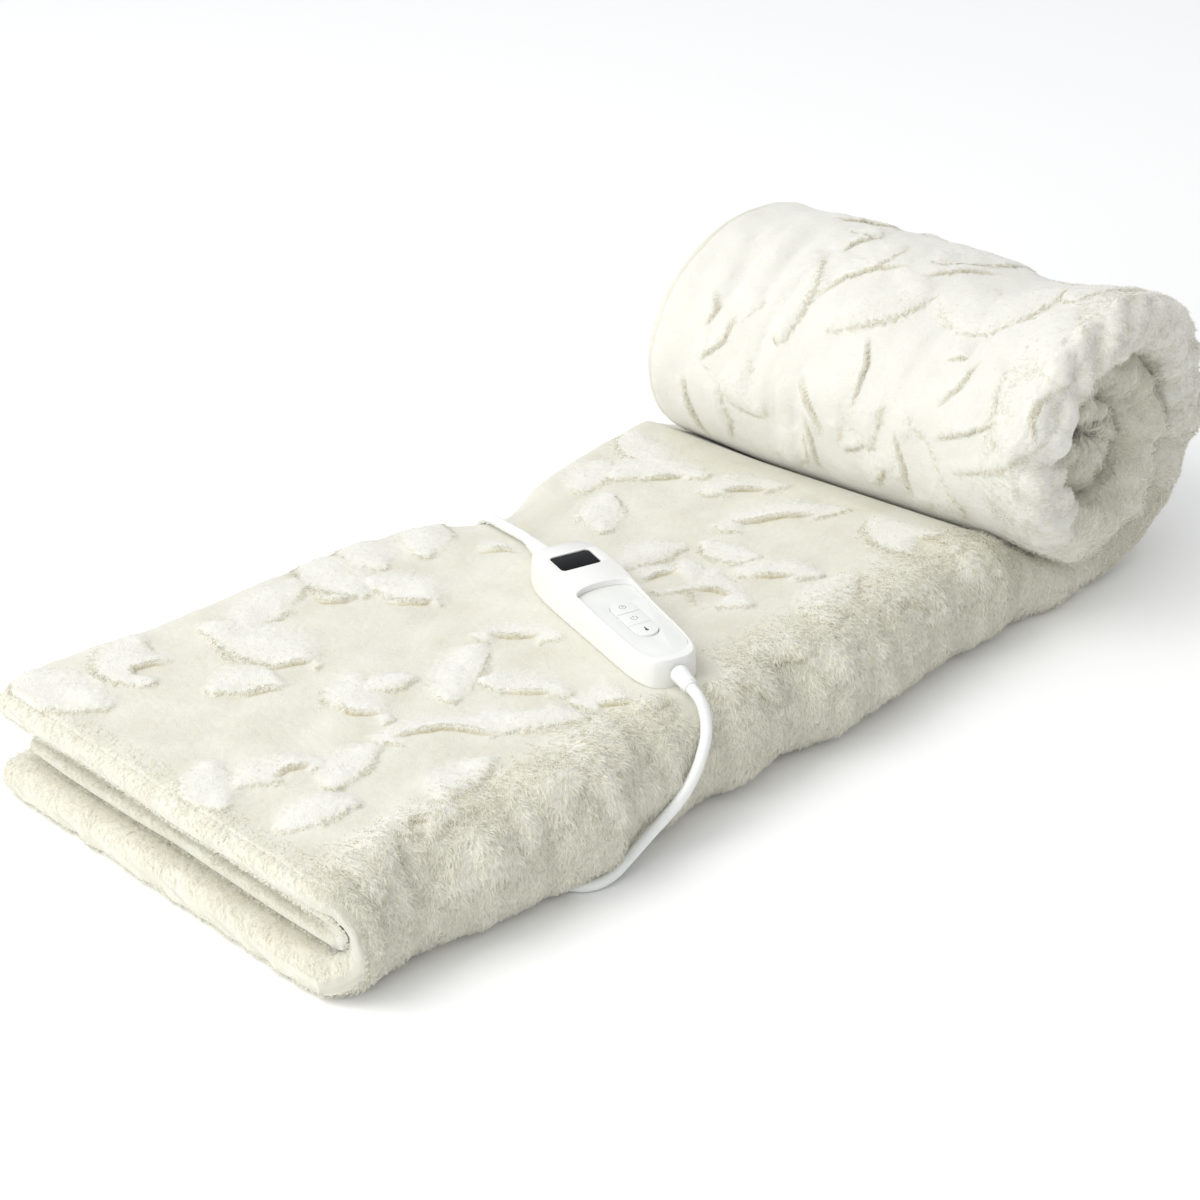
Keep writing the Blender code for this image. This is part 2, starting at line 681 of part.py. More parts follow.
def panel_outline(shrink):
    """The panel: sides along the case, a rounded near end and a far end that bows towards the head."""
    far = PANEL_FROM + PANEL_ARC + shrink
    near_half = case_half(PANEL_NEAR) - PANEL_RIM - shrink
    far_half = case_half(far) - PANEL_RIM - shrink
    outline = []
    for angle in np.linspace(0.0, math.pi / 2.0, 8):
        along = PANEL_NEAR + (PANEL_TO - shrink - PANEL_NEAR) * math.cos(angle)
        outline.append((along, near_half * math.sin(angle)))
    for along in (0.135, 0.115, 0.095):
        outline.append((along, case_half(along) - PANEL_RIM - shrink))
    for angle in np.linspace(math.pi / 2.0, 0.0, 8):
        outline.append((far - PANEL_ARC * math.cos(angle), far_half * math.sin(angle)))
    mirrored = [(x, -y) for x, y in reversed(outline[1:-1])]
    return outline + mirrored


def pad_outline(start, end, half):
    """The pill-shaped pad, or a stretch of it: an end is round where it is the pad's own end."""
    low, high = KEY_PAD
    outline = []
    for along, own, side in ((end, end >= high - 0.002, 1), (start, start <= low + 0.002, -1)):
        if own:
            for angle in np.linspace(math.pi / 2.0, -math.pi / 2.0, 9):
                middle = along - side * half
                outline.append((middle + side * half * math.cos(angle), side * half * math.sin(angle)))
        else:
            outline += [(along, side * half), (along, -side * half)]
    return outline


def rounded_rectangle(middle, size, radius, steps=4):
    outline = []
    for corner in range(4):
        out_x, out_y = ((1, 1), (-1, 1), (-1, -1), (1, -1))[corner]
        for step in range(steps + 1):
            angle = math.radians(90.0 * corner + 90.0 * step / steps)
            x = middle + out_x * (size[0] / 2.0 - radius) + radius * math.cos(angle)
            outline.append((x, out_y * (size[1] / 2.0 - radius) + radius * math.sin(angle)))
    return outline


def cut(obj, cutter):
    cutter.hide_render = True
    cutter.display_type = "WIRE"
    modifier = obj.modifiers.new("cut " + cutter.name, "BOOLEAN")
    modifier.operation = "DIFFERENCE"
    modifier.object = cutter


def make_handset(collection, cutters):
    white = new_material("white_abs", (0.90, 0.90, 0.89), 0.32)
    grey = new_material("pale_panel", (0.84, 0.85, 0.82), 0.38)
    dark = new_material("dark_window", (0.010, 0.012, 0.014), 0.08)
    case = make_case(collection, white)
    above = 0.040
    panel_top = PANEL_FLOOR + PANEL_THICK
    cut(case, flat_plate("cut_panel", panel_outline(0.0), PANEL_FLOOR, above, cutters))
    pad = pad_outline(*KEY_PAD, KEY_PAD_HALF)
    cut(case, flat_plate("cut_pocket", pad, KEY_POCKET, above, cutters))
    window = rounded_rectangle(WINDOW_ALONG, WINDOW_SIZE, WINDOW_ROUND)
    floor = case_top(WINDOW_ALONG) - WINDOW_SINK - 0.0008
    cut(case, flat_plate("cut_window", window, floor, above, cutters))

    panel = flat_plate("key_panel", panel_outline(CLEAR), PANEL_FLOOR + CLEAR, panel_top, collection, grey)
    cut(panel, flat_plate("cut_pad_hole", pad, KEY_POCKET, above, cutters))

    size = [side - 2.0 * CLEAR for side in WINDOW_SIZE]
    glass = rounded_rectangle(WINDOW_ALONG, size, WINDOW_ROUND - CLEAR)
    flat_plate("display_window", glass, floor + CLEAR, floor + 0.0014, collection, dark)

    low, high = KEY_PAD[0] + CLEAR, KEY_PAD[1] - CLEAR
    length = (high - low) / len(KEY_NAMES)
    for i, name in enumerate(KEY_NAMES):
        start = low + i * length + (KEY_PARTING / 2.0 if i else 0.0)
        end = low + (i + 1) * length - (KEY_PARTING / 2.0 if i < len(KEY_NAMES) - 1 else 0.0)
        key = pad_outline(start, end, KEY_PAD_HALF - CLEAR)
        flat_plate(name, key, KEY_BOTTOM, KEY_TOP, collection, grey)


# The cords and what is on them.


def turned(name, profile, collection, material, steps=16):
    """A piece turned about X: profile is (along, radius) from end to end, closed on the axis."""
    mesh = bpy.data.meshes.new(name)
    points = [(profile[0][0], 0.0, 0.0)] + [(x, r, 0.0) for x, r in profile] + [(profile[-1][0], 0.0, 0.0)]
    mesh.from_pydata(points, [(i, i + 1) for i in range(len(points) - 1)], [])
    obj = add_object(name, mesh, collection, material)
    screw = obj.modifiers.new("turn", "SCREW")
    screw.axis = "X"
    screw.steps = screw.render_steps = steps
    screw.use_merge_vertices = True
    screw.merge_threshold = 0.00001
    screw.use_smooth_shade = True
    screw.use_normal_flip = True
    return obj


def point_at(obj, start, towards):
    """Sets a piece that runs along X at start, pointing along towards."""
    obj.location = start
    obj.rotation_euler = Vector(towards).to_track_quat("X", "Z").to_euler()


def case_point(along, height):
    heading = math.radians(CASE_HEADING_DEG)
    x = CASE_START[0] + along * math.cos(heading)
    y = CASE_START[1] + along * math.sin(heading)
    return Vector((x, y, CASE_BASE + height))


def case_aim(side, slope):
    """Direction out of the near end (1) or the far tip (-1) of the case."""
    heading = math.radians(CASE_HEADING_DEG)
    return Vector((side * math.cos(heading), side * math.sin(heading), slope)).normalized()


def sleeve(name, start, aim, profile, route, collection, material):
    """Turns the sleeve on the case and gives the lead's route from its mouth."""
    point_at(turned(name, profile, collection, material), start, aim)
    mouth = start + aim * (profile[-1][0] + CLEAR)
    return (tuple(mouth), tuple(mouth + aim * STRAIGHT)) + route


def smooth_route(points, spacing):
    """Points at about even spacing on a smooth curve; the first and last pieces stay straight."""
    given = [Vector(p) for p in points]
    line = []
    for before, a, b, after in zip(given, given[1:], given[2:], given[3:]):
        for t in np.linspace(0.0, 1.0, 12, endpoint=False):
            line.append(
                a * (2 * t**3 - 3 * t**2 + 1)
                + (b - before) * (0.5 * (t**3 - 2 * t**2 + t))
                + b * (3 * t**2 - 2 * t**3)
                + (after - a) * (0.5 * (t**3 - t**2))
            )
    line.append(given[-2])
    lengths = np.concatenate(((0.0,), np.cumsum([(b - a).length for a, b in zip(line, line[1:])])))
    wanted = np.linspace(0.0, lengths[-1], round(lengths[-1] / spacing) + 1)
    columns = [np.interp(wanted, lengths, [p[axis] for p in line]) for axis in range(3)]
    return [points[0], *zip(*columns), points[-1]]


def make_tube(name, route, spacing, collection, material):
    points = smooth_route(route, spacing)
    curve = bpy.data.curves.new(name, "CURVE")
    curve.dimensions = "3D"
    curve.bevel_depth = CORD_RADIUS
    curve.bevel_resolution = 2
    curve.use_fill_caps = True
    spline = curve.splines.new("POLY")
    spline.points.add(len(points) - 1)
    for target, point in zip(spline.points, points):
        target.co = (*point, 1.0)
    return add_object(name, curve, collection, material)


def make_ring(name, inner, outer, low, high, collection, material, steps=40):
    """The outer shape of the wound lead: a turned ring with eased corners."""
    ease = 0.0028
    profile = [
        (inner + ease, low),
        (inner, low + ease),
        (inner, high - ease),
        (inner + ease, high),
        (outer - ease, high),
        (outer, high - ease),
        (outer, low + ease),
        (outer - ease, low),
    ]
    mesh = bpy.data.meshes.new(name)
    mesh.from_pydata([(r, 0.0, z) for r, z in profile], [(i, (i + 1) % 8) for i in range(8)], [])
    obj = add_object(name, mesh, collection, material)
    screw = obj.modifiers.new("turn", "SCREW")
    screw.steps = screw.render_steps = steps
    screw.use_merge_vertices = True
    screw.merge_threshold = 0.00001
    obj.location = (*COIL_MIDDLE, 0.0)
    return obj


def make_tie(collection, material):
    """A strap round the coil's section, on the side away from the band."""
    pvc = CORD_RADIUS
    inner, outer = COIL_TURN_RADII[0] - pvc, COIL_TURN_RADII[-1] + pvc
    high = 2.0 * pvc + (COIL_LAYERS - 1) * COIL_LAYER_STEP + 0.0008
    width, wall, gap = 0.008, 0.0012, 0.0006
    shape = bmesh.new()
    hole = ((inner - gap, 0.0), (outer + gap, 0.0), (outer + gap, high + gap), (inner - gap, high + gap))
    skin = (
        (inner - gap - wall, 0.0),
        (outer + gap + wall, 0.0),
        (outer + gap + wall, high + gap + wall),
        (inner - gap - wall, high + gap + wall),
    )
    path = [skin[0], skin[3], skin[2], skin[1], hole[1], hole[2], hole[3], hole[0]]
    base = shape.faces.new([shape.verts.new((x, -width / 2.0, z)) for x, z in path])
    grown = bmesh.ops.extrude_face_region(shape, geom=[base])
    sides = [v for v in grown["geom"] if isinstance(v, bmesh.types.BMVert)]
    bmesh.ops.translate(shape, verts=sides, vec=(0.0, width, 0.0))
    obj = add_object("lead_tie", mesh_from_bmesh("lead_tie", shape), collection, material)
    obj.location = (*COIL_MIDDLE, 0.0)
    obj.rotation_euler = (0.0, 0.0, math.radians(60.0))
    return obj


def make_plug(collection, pvc):
    brass = new_material("nickel_pins", (0.72, 0.70, 0.66), 0.25, 1.0)
    boot = turned("plug_boot", PLUG_BOOT, collection, pvc)
    point_at(boot, (PLUG_ALONG, PLUG_BOOT_START, PLUG_HEIGHT), (0.0, -1.0, 0.0))
    half, length = PLUG_BODY_WIDTH / 2.0, PLUG_BODY_LENGTH
    side = ((0.0, 0.38), (0.10, 0.48), (0.30, 0.62), (0.62, 0.94), (0.74, 1.0), (1.0, 1.0))
    outline = [(share * length, wide * half) for share, wide in side]
    outline += [(x, -y) for x, y in reversed(outline)]
    shape = bmesh.new()
    base = shape.faces.new([shape.verts.new((x, y, -PLUG_BODY_THICK / 2.0)) for x, y in outline])
    grown = bmesh.ops.extrude_face_region(shape, geom=[base])
    tops = [v for v in grown["geom"] if isinstance(v, bmesh.types.BMVert)]
    bmesh.ops.translate(shape, verts=tops, vec=(0.0, 0.0, PLUG_BODY_THICK))
    body = add_object("plug_body", mesh_from_bmesh("plug_body", shape, 30), collection, pvc)
    bevel = body.modifiers.new("edges", "BEVEL")
    bevel.width = 0.0022
    bevel.segments = 2
    bevel.limit_method = "ANGLE"
    bevel.angle_limit = math.radians(50.0)
    point_at(body, (PLUG_ALONG, PLUG_BODY_START, PLUG_HEIGHT), (0.0, -1.0, 0.0))
    for name, side in (("plug_pin_a", -1.0), ("plug_pin_b", 1.0)):
        profile = ((0.0, PIN_RADIUS), (PIN_LENGTH - 0.001, PIN_RADIUS), (PIN_LENGTH, PIN_RADIUS * 0.6))
        pin = turned(name, profile, collection, brass, 12)
        start = PLUG_BODY_START - PLUG_BODY_LENGTH - CLEAR
        point_at(pin, (PLUG_ALONG + side * PIN_SPREAD / 2.0, start, PLUG_HEIGHT), (0.0, -1.0, 0.0))


def make_cords(collection):
    pvc = new_material("white_pvc", (0.88, 0.90, 0.89), 0.42)
    near = case_point(CASE_TABLE[-1][0] + SLEEVE_GAP, RELIEF_NEAR_HEIGHT)
    aim = case_aim(1.0, RELIEF_DIP)
    route = sleeve("relief_near", near, aim, NEAR_PROFILE, BLANKET_ROUTE, collection, pvc)
    make_tube("blanket_lead", route, 0.011, collection, pvc)
    far = case_point(-CLEAR, RELIEF_FAR_HEIGHT)
    aim = case_aim(-1.0, 0.0)
    route = sleeve("relief_far", far, aim, FAR_PROFILE, MAINS_ROUTE, collection, pvc)
    make_tube("mains_lead", route, 0.015, collection, pvc)
    make_tube("mains_tail", TAIL_ROUTE, 0.012, collection, pvc)
    inner, outer = COIL_TURN_RADII[0] - CORD_RADIUS, COIL_TURN_RADII[-1] + CORD_RADIUS
    high = 2.0 * CORD_RADIUS + (COIL_LAYERS - 1) * COIL_LAYER_STEP + 0.0008
    make_ring("mains_coil", inner, outer, 0.0, high, collection, pvc)
    make_tie(collection, new_material("black_tie", (0.03, 0.03, 0.03), 0.6))
    make_plug(collection, pvc)


def main():
    clear_scene()
    parts = new_collection("heated_throw")
    cutters = new_collection("cutters")
    make_throw(parts)
    make_handset(parts, cutters)
    make_cords(parts)
    for obj in list(parts.objects) + list(cutters.objects):
        obj.location -= Vector((*MIDDLE, 0.0))


main()
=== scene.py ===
"""Electric heated throw: sculpted plush folded in four and half rolled up, with its handset and leads."""

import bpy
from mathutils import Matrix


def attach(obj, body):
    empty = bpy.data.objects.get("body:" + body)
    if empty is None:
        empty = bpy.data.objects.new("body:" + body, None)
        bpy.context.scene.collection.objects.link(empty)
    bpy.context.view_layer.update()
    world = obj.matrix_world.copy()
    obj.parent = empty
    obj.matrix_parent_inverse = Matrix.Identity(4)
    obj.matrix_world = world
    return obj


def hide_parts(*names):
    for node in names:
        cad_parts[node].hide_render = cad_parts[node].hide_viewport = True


bl_info = {
    "name": "Heated throw",
    "version": (1, 0, 0),
    "blender": (4, 5, 0),
    "location": "3D View > Sidebar > Heated throw",
    "description": "Sculpted plush throw, folded and rolled, with its handset, leads and plug",
    "category": "Object",
}

import math
from contextlib import contextmanager

import bmesh
import bpy
import numpy as np
from mathutils import Matrix, Vector

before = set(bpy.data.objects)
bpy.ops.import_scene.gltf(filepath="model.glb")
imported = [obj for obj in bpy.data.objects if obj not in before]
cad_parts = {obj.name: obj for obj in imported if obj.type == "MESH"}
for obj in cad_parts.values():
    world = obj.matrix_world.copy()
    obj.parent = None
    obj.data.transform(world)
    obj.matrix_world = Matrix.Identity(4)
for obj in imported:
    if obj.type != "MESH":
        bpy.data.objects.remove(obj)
ROOT = "blanket"

# Sizes shared with the solids, in metres. The band lies along X from its open end.
BAND_WIDTH = 1.27 / 4
MIDDLE = Vector((0.3991, -0.0064, 0.0))  # of the cloth's box, along and across the band
ROLL_ALONG = 0.657
ROLL_RADIUS = 0.118
ROLL_PITCH = 0.0387
ROLL_THICK = (  # degrees round the roll, thickness of the four layers
    (0, 0.0373), (690, 0.0373), (720, 0.0363), (765, 0.0320), (810, 0.0271), (855, 0.0223),
    (922.5, 0.0155),
)
ROLL_END_DEG = 922.5
ROLL_WIDE, ROLL_SAG, ROLL_SKEW, ROLL_TAPER = 1.15, 0.006, 0.12, 0.12
ROLL_FLARE = (0.018, -0.036)  # widens at its far end, narrows at its near one
HOLLOW_ACROSS, HOLLOW_WIDE, HOLLOW_DEEP = -0.080, 0.050, 0.011
FAR_HEAVE, HEAVE_ALONG, HEAVE_WIDE = 0.009, 0.625, 0.060
# Where each of these sets in and is whole: up the roll, along the band or across it.
SAG_FROM_TO, FLARE_FROM_TO, HOLLOW_FROM_TO = (0.04, 0.21), (0.06, 0.14), (0.14, 0.21)
SKEW_FROM_TO = (0.40, 0.55)
HEAVE_UP, HEAVE_DOWN, HEAVE_ACROSS = (0.0, 0.05), (0.06, 0.16), (0.03, 0.14)
STACK = (  # along, height
    (0.000, 0.0780), (0.100, 0.0765), (0.250, 0.0745), (0.420, 0.0745), (0.500, 0.0735),
    (0.550, 0.0710), (0.570, 0.0678), (0.583, 0.0598), (0.596, 0.0512), (0.610, 0.0443),
    (0.625, 0.0395), (0.641, 0.0374), (0.657, 0.0373),
)
SHIFT = (  # degrees round the roll, across
    (0, 0.0), (90, -0.008), (180, -0.020), (270, -0.026), (330, -0.024), (420, -0.009), (520, 0.004),
    (720, 0.000), (923, 0.004),
)
SHARES_END = (0.205, 0.040, 0.155, 0.100, 0.160, 0.015, 0.325)  # layer, gap, layer and so on, from the top
SHARES_BAND = (0.235, 0.020, 0.220, 0.045, 0.220, 0.020, 0.240)
SHARES_ROLL = (0.240, 0.022, 0.230, 0.022, 0.230, 0.022, 0.234)
LAYER_SETBACK = (-0.001, 0.012, 0.016, 0.003)
NEAR_BULGE = 0.40
NEAR_OUT, NAP_INSET = 0.009, 0.0022
NEAR_BULGES = (  # along, wide, out
    (0.050, 0.030, -0.009), (0.185, 0.045, 0.011), (0.315, 0.022, 0.004), (0.400, 0.025, 0.003),
    (0.440, 0.060, 0.008), (0.480, 0.020, -0.004),
)
FAR_BULGES = ((0.050, 0.040, 0.009), (0.420, 0.130, -0.022), (0.670, 0.050, 0.009))
DENT_ALONG, DENT_WIDE, DENT_IN, DENT_DOWN = 0.380, 0.042, 0.014, 0.13
DENT_ACROSS = (0.060, 0.125)
FOLD_STEP = 0.005
SETBACK_3, SETBACK_4 = 0.012, 0.006  # of the free edges on the far side
END_REACH, SETBACK_REACH = 0.10, 0.06  # how far in the open end's looser layers and its steps reach
INNER_SHARE = 0.9  # of a layer's thickness that the inner side of its fold gives up
HEM = 0.011  # length over which a hem rounds off

CASE_START = Vector((0.345, 0.034, 0.0748))
CASE_HEADING = math.radians(-106.8)
CASE_TABLE = (  # along, half width, top
    (0.000, 0.0070, 0.0132), (0.003, 0.0108, 0.0156), (0.008, 0.0150, 0.0188), (0.015, 0.0194, 0.0218),
    (0.024, 0.0226, 0.0237), (0.034, 0.0243, 0.0240), (0.046, 0.0250, 0.0240), (0.060, 0.0249, 0.0240),
    (0.072, 0.0245, 0.0234), (0.086, 0.0239, 0.0222), (0.102, 0.0233, 0.0211), (0.120, 0.0227, 0.0206),
    (0.138, 0.0221, 0.0204), (0.150, 0.0212, 0.0203), (0.159, 0.0195, 0.0202), (0.165, 0.0168, 0.0201),
    (0.169, 0.0130, 0.0200), (0.171, 0.0075, 0.0198),
)
CASE_SIDES = (  # share of the half width and of the height
    (0.900, 0.000), (0.975, 0.050), (1.000, 0.150), (0.990, 0.400), (0.968, 0.700), (0.940, 0.880),
    (0.900, 0.965), (0.850, 1.000),
)
PANEL_FROM, PANEL_TO, PANEL_NEAR = 0.072, 0.1665, 0.150
PANEL_RIM, PANEL_ARC = 0.0040, 0.0085
PANEL_FLOOR, PANEL_THICK = 0.0180, 0.0013
KEY_PAD, KEY_PAD_HALF = (0.0945, 0.1400), 0.0082
KEY_TOP, KEY_BOTTOM, KEY_POCKET, KEY_PARTING = 0.0205, 0.0168, 0.0155, 0.0004
KEY_NAMES = ("key_timer", "key_power", "key_heat")
WINDOW_ALONG, WINDOW_SIZE, WINDOW_ROUND, WINDOW_SINK = 0.040, (0.0200, 0.0285), 0.0030, 0.0012
CLEAR = 0.0003
SLEEVE_GAP = 0.0014
RELIEF_NEAR_HEIGHT, RELIEF_FAR_HEIGHT, RELIEF_DIP = 0.0105, 0.0070, -0.174
NEAR_PROFILE = (
    (0.0, 0.0057), (0.0025, 0.0059), (0.0105, 0.0050), (0.0115, 0.0053), (0.0132, 0.0053),
    (0.0138, 0.0045), (0.0155, 0.0042),
)
FAR_PROFILE = ((0.0, 0.0062), (0.004, 0.0062), (0.010, 0.0054), (0.022, 0.0043))
STRAIGHT = 0.007
CORD_RADIUS = 0.0036
BLANKET_ROUTE = (  # along, across, up
    (0.2886, -0.1562, 0.0778), (0.2878, -0.1602, 0.0712), (0.2856, -0.1634, 0.0648),
    (0.2815, -0.1666, 0.0595), (0.2766, -0.1693, 0.0553), (0.2700, -0.1724, 0.0503),
    (0.2610, -0.1750, 0.0437), (0.2510, -0.1758, 0.0362), (0.2400, -0.1750, 0.0290),
    (0.2290, -0.1738, 0.0225), (0.2180, -0.1732, 0.0165), (0.2080, -0.1730, 0.0115),
    (0.1990, -0.1728, 0.0075), (0.1910, -0.1716, 0.0050), (0.1838, -0.1690, 0.0042),
    (0.1780, -0.1645, 0.0040), (0.1742, -0.1592, 0.0040),
)
MAINS_ROUTE = (
    (0.3575, 0.0760, 0.0794), (0.3600, 0.0870, 0.0778), (0.3630, 0.0975, 0.0760),
    (0.3660, 0.1075, 0.0741), (0.3690, 0.1170, 0.0708), (0.3718, 0.1247, 0.0650),
    (0.3745, 0.1300, 0.0572), (0.3772, 0.1338, 0.0480), (0.3800, 0.1373, 0.0382),
    (0.3832, 0.1408, 0.0288), (0.3872, 0.1454, 0.0200), (0.3925, 0.1514, 0.0132),
    (0.4000, 0.1585, 0.0087), (0.4110, 0.1672, 0.0058), (0.4260, 0.1752, 0.0045),
    (0.4470, 0.1818, 0.0041), (0.4750, 0.1855, 0.0041), (0.5200, 0.1862, 0.0041),
    (0.5800, 0.1862, 0.0041), (0.6400, 0.1862, 0.0041), (0.6800, 0.1861, 0.0041),
    (0.7083, 0.1860, 0.0041),
)
TAIL_ROUTE = (
    (0.7617, 0.1860, 0.0109), (0.7720, 0.1860, 0.0092), (0.7830, 0.1860, 0.0066),
    (0.7940, 0.1860, 0.0050), (0.8047, 0.1839, 0.0043), (0.8138, 0.1778, 0.0045),
    (0.8199, 0.1687, 0.0056), (0.8220, 0.1590, 0.0070), (0.8220, 0.1503, 0.0075),
)
COIL_MIDDLE = (0.7350, 0.2329)
COIL_TURN_RADII = (0.0323, 0.0396, 0.0469)
COIL_LOW, COIL_HIGH = 0.0041, 0.0114

# Raised motifs, charted in millimetres: middle along and across, heading in degrees, where 0 is
# towards the roll and 90 towards the far side, length, width, and bend as a share of the length.
BAND_PETALS = (  # along, across, heading, length, width, bend
    (30, 128, 100, 62, 30, 0.15), (82, 122, 60, 50, 28, 0.30), (146, 84, 100, 72, 32, -0.12),
    (112, 52, 330, 40, 20, 0.30), (185, 120, 20, 60, 24, 0.10), (240, 122, 80, 52, 30, 0.10),
    (274, 130, 70, 42, 24, 0.10), (254, 74, 100, 48, 22, -0.30), (318, 118, 40, 46, 24, 0.10),
    (152, -10, 250, 50, 24, -0.35), (173, -7, 340, 28, 13, 0.10), (62, -38, 340, 46, 19, 0.20),
    (28, -22, 60, 42, 22, 0.20), (50, -86, 350, 42, 19, 0.20), (97, -62, 20, 46, 19, 0.20),
    (158, -71, 325, 72, 21, 0.12), (203, -94, 322, 62, 20, 0.10), (228, -67, 300, 48, 19, 0.15),
    (255, -118, 310, 46, 19, 0.10), (267, -20, 315, 46, 19, 0.15), (214, -30, 30, 60, 21, 0.20),
    (84, -130, 340, 40, 19, 0.15), (132, -118, 15, 46, 19, 0.20), (400, -6, 350, 46, 18, 0.20),
    (391, -36, 200, 42, 18, 0.30), (404, -72, 250, 42, 22, -0.40), (440, -80, 310, 46, 19, 0.10),
    (442, -38, 100, 34, 17, 0.30), (500, -30, 335, 80, 23, 0.10), (520, 18, 330, 50, 21, 0.20),
    (495, 74, 320, 58, 28, 0.40), (528, 108, 60, 50, 26, 0.10), (462, 104, 20, 50, 21, 0.15),
    (424, 58, 40, 50, 21, 0.15), (440, -130, 30, 50, 23, 0.20), (472, -160, 325, 48, 21, 0.10),
    (538, -108, 260, 60, 30, -0.35), (548, -172, 330, 52, 25, 0.30), (337, -165, 325, 60, 20, 0.10),
    (374, -150, 335, 46, 17, 0.15), (402, -176, 315, 42, 17, 0.10), (432, -190, 310, 36, 17, 0.10),
    (214, -160, 60, 62, 28, 0.30), (236, -190, 340, 42, 19, 0.20), (160, -165, 20, 52, 22, 0.20),
    (100, -176, 350, 46, 20, 0.20), (48, -140, 40, 46, 20, 0.20),
)
# The same on the roll, with degrees round it in the first column and 0 down its front.
ROLL_PETALS = (  # degrees, across, heading, length, width, bend
    (246, -22, 350, 64, 23, 0.10), (244, 0, 20, 56, 20, -0.20), (263, 4, 10, 42, 17, 0.10),
    (236, 94, 20, 52, 20, 0.50), (252, 76, 330, 56, 19, 0.30), (206, 0, 43, 66, 24, 0.10),
    (190, -52, 320, 54, 23, 0.10), (270, -72, 329, 66, 20, 0.10), (279, -42, 45, 36, 14, 0.10),
    (290, -66, 15, 30, 13, 0.10), (289, -88, 350, 36, 15, 0.10), (238, -112, 350, 48, 24, 0.40),
    (254, -128, 57, 64, 20, 0.10), (240, -172, 0, 48, 23, -0.40), (186, -88, 20, 52, 23, 0.10),
    (204, -140, 330, 52, 20, 0.10), (214, 62, 350, 60, 19, 0.10), (190, 36, 20, 46, 19, 0.10),
    (280, 98, 0, 46, 19, 0.20), (284, 34, 20, 34, 15, 0.10), (160, -20, 30, 60, 24, 0.20),
    (158, 70, 330, 56, 22, 0.20), (162, -120, 10, 56, 22, 0.20), (132, 20, 60, 60, 24, 0.30),
    (128, -70, 340, 60, 24, 0.20), (104, 84, 20, 56, 22, 0.20), (100, -20, 320, 60, 24, 0.20),
    (98, -130, 40, 56, 22, 0.20), (74, 40, 350, 60, 24, 0.20), (66, -70, 20, 60, 24, 0.20),
)
# Soft folds of the roll's skin, in degrees and millimetres.
ROLL_PULLS = (  # from degrees, from across, to degrees, to across, width, depth
    (172, 90, 226, 80, 6.0, 2.6), (188, 62, 268, 69, 5.0, 1.8), (180, 127, 230, 103, 6.0, 2.2),
    (176, 112, 230, 106, 5.0, 2.0), (178, 46, 240, 44, 6.0, 1.4), (196, -52, 250, -50, 5.0, 1.2),
    (232, 28, 292, 33, 5.0, 1.5), (240, 52, 292, 47, 5.0, 1.6), (262, -112, 300, -128, 7.0, 1.6),
    (196, -165, 226, -172, 6.0, 1.8), (262, -176, 296, -166, 7.0, 2.2),
)
# Lines where the pile parts, along and across in millimetres. The pile stands high on the left of each.
BAND_CREASES = (
    ((130, 58), (146, 53), (160, 46)), ((66, 108), (74, 115), (86, 112), (95, 105)),
    ((100, 45), (112, 40), (125, 33)), ((212, 112), (209, 98), (220, 90), (235, 92)),
    ((238, 75), (243, 61), (252, 52), (262, 52)), ((325, 80), (338, 67), (350, 52)),
    ((372, -25), (385, -28), (400, -32)), ((386, -56), (396, -66), (400, -80)),
    ((425, -70), (434, -82), (445, -92)), ((470, -12), (492, -26), (520, -45)),
    ((505, 25), (518, 18), (530, 5)), ((480, 75), (495, 66), (510, 60)),
    ((130, -55), (145, -59), (160, -68), (172, -84), (180, -97)), ((215, -60), (224, -74), (235, -85)),
    ((245, -110), (254, -118), (265, -128)), ((255, -5), (266, -18), (280, -30)),
    ((55, -40), (68, -40), (80, -45)), ((75, -130), (83, -130), (90, -135)),
    ((135, 0), (132, -12), (135, -20), (150, -33)), ((320, -150), (336, -164), (355, -178)),
    ((350, -150), (368, -152), (385, -160)), ((460, -155), (474, -160), (485, -170)),
    ((530, -110), (538, -124), (535, -140)), ((540, -165), (556, -176), (570, -190)),
)
# The same on the roll, with degrees round it in the first column.
ROLL_CREASES = (
    ((222, 118), (230, 108), (238, 114)), ((230, 92), (242, 95), (254, 113)),
    ((262, 123), (272, 121), (288, 117), (312, 108)), ((186, 5), (194, 24), (203, 38), (214, 47)),
    ((174, 48), (182, 55), (190, 57)), ((166, -43), (178, -24), (190, -9)),
    ((246, 31), (258, 19), (270, 7)), ((222, -7), (234, -17), (254, -16)),
    ((218, -94), (232, -90), (243, -79)), ((218, -84), (220, -69)),
    ((242, -131), (250, -108), (258, -81)), ((222, -157), (230, -150), (238, -150), (248, -156)),
    ((270, -28), (277, -9)), ((278, -44), (290, -34)), ((258, -51), (274, -59), (294, -61)),
    ((262, 23), (278, 16), (294, 16)), ((150, 60), (160, 84), (166, 98)),
    ((120, -40), (132, -20), (138, 6)), ((96, 40), (104, 62), (112, 76)),
    ((84, -110), (96, -92), (100, -70)),
)
# A crease's dark bottom is a line of painted shade.
CREASE_REACH, CREASE_WIDE = 0.016, 0.0008  # of its raised side and of its dark bottom
CREASE_LIP = (0.0018, 0.0014)  # middle and width of the lip beside its bottom
CREASE_CLEARS = (0.014, 0.028)  # how far it lowers the motif on its right
PETAL_SPREAD = 1.80  # times a petal's charted width, out to where its pile has faded away
# A petal's foot is a band of painted shade along its overhanging edge.
PETAL_FOOT_SHADE, PETAL_LIP = (-0.06, 0.08), (0.14, 0.13)  # middle and width, from its edge towards its middle
PETAL_FADES, FLOW_TURNS = (-0.45, 0.95), (-0.35, 0.45)
PILE_RISE = 0.0028  # of the raised cloth; the strands on it add the rest
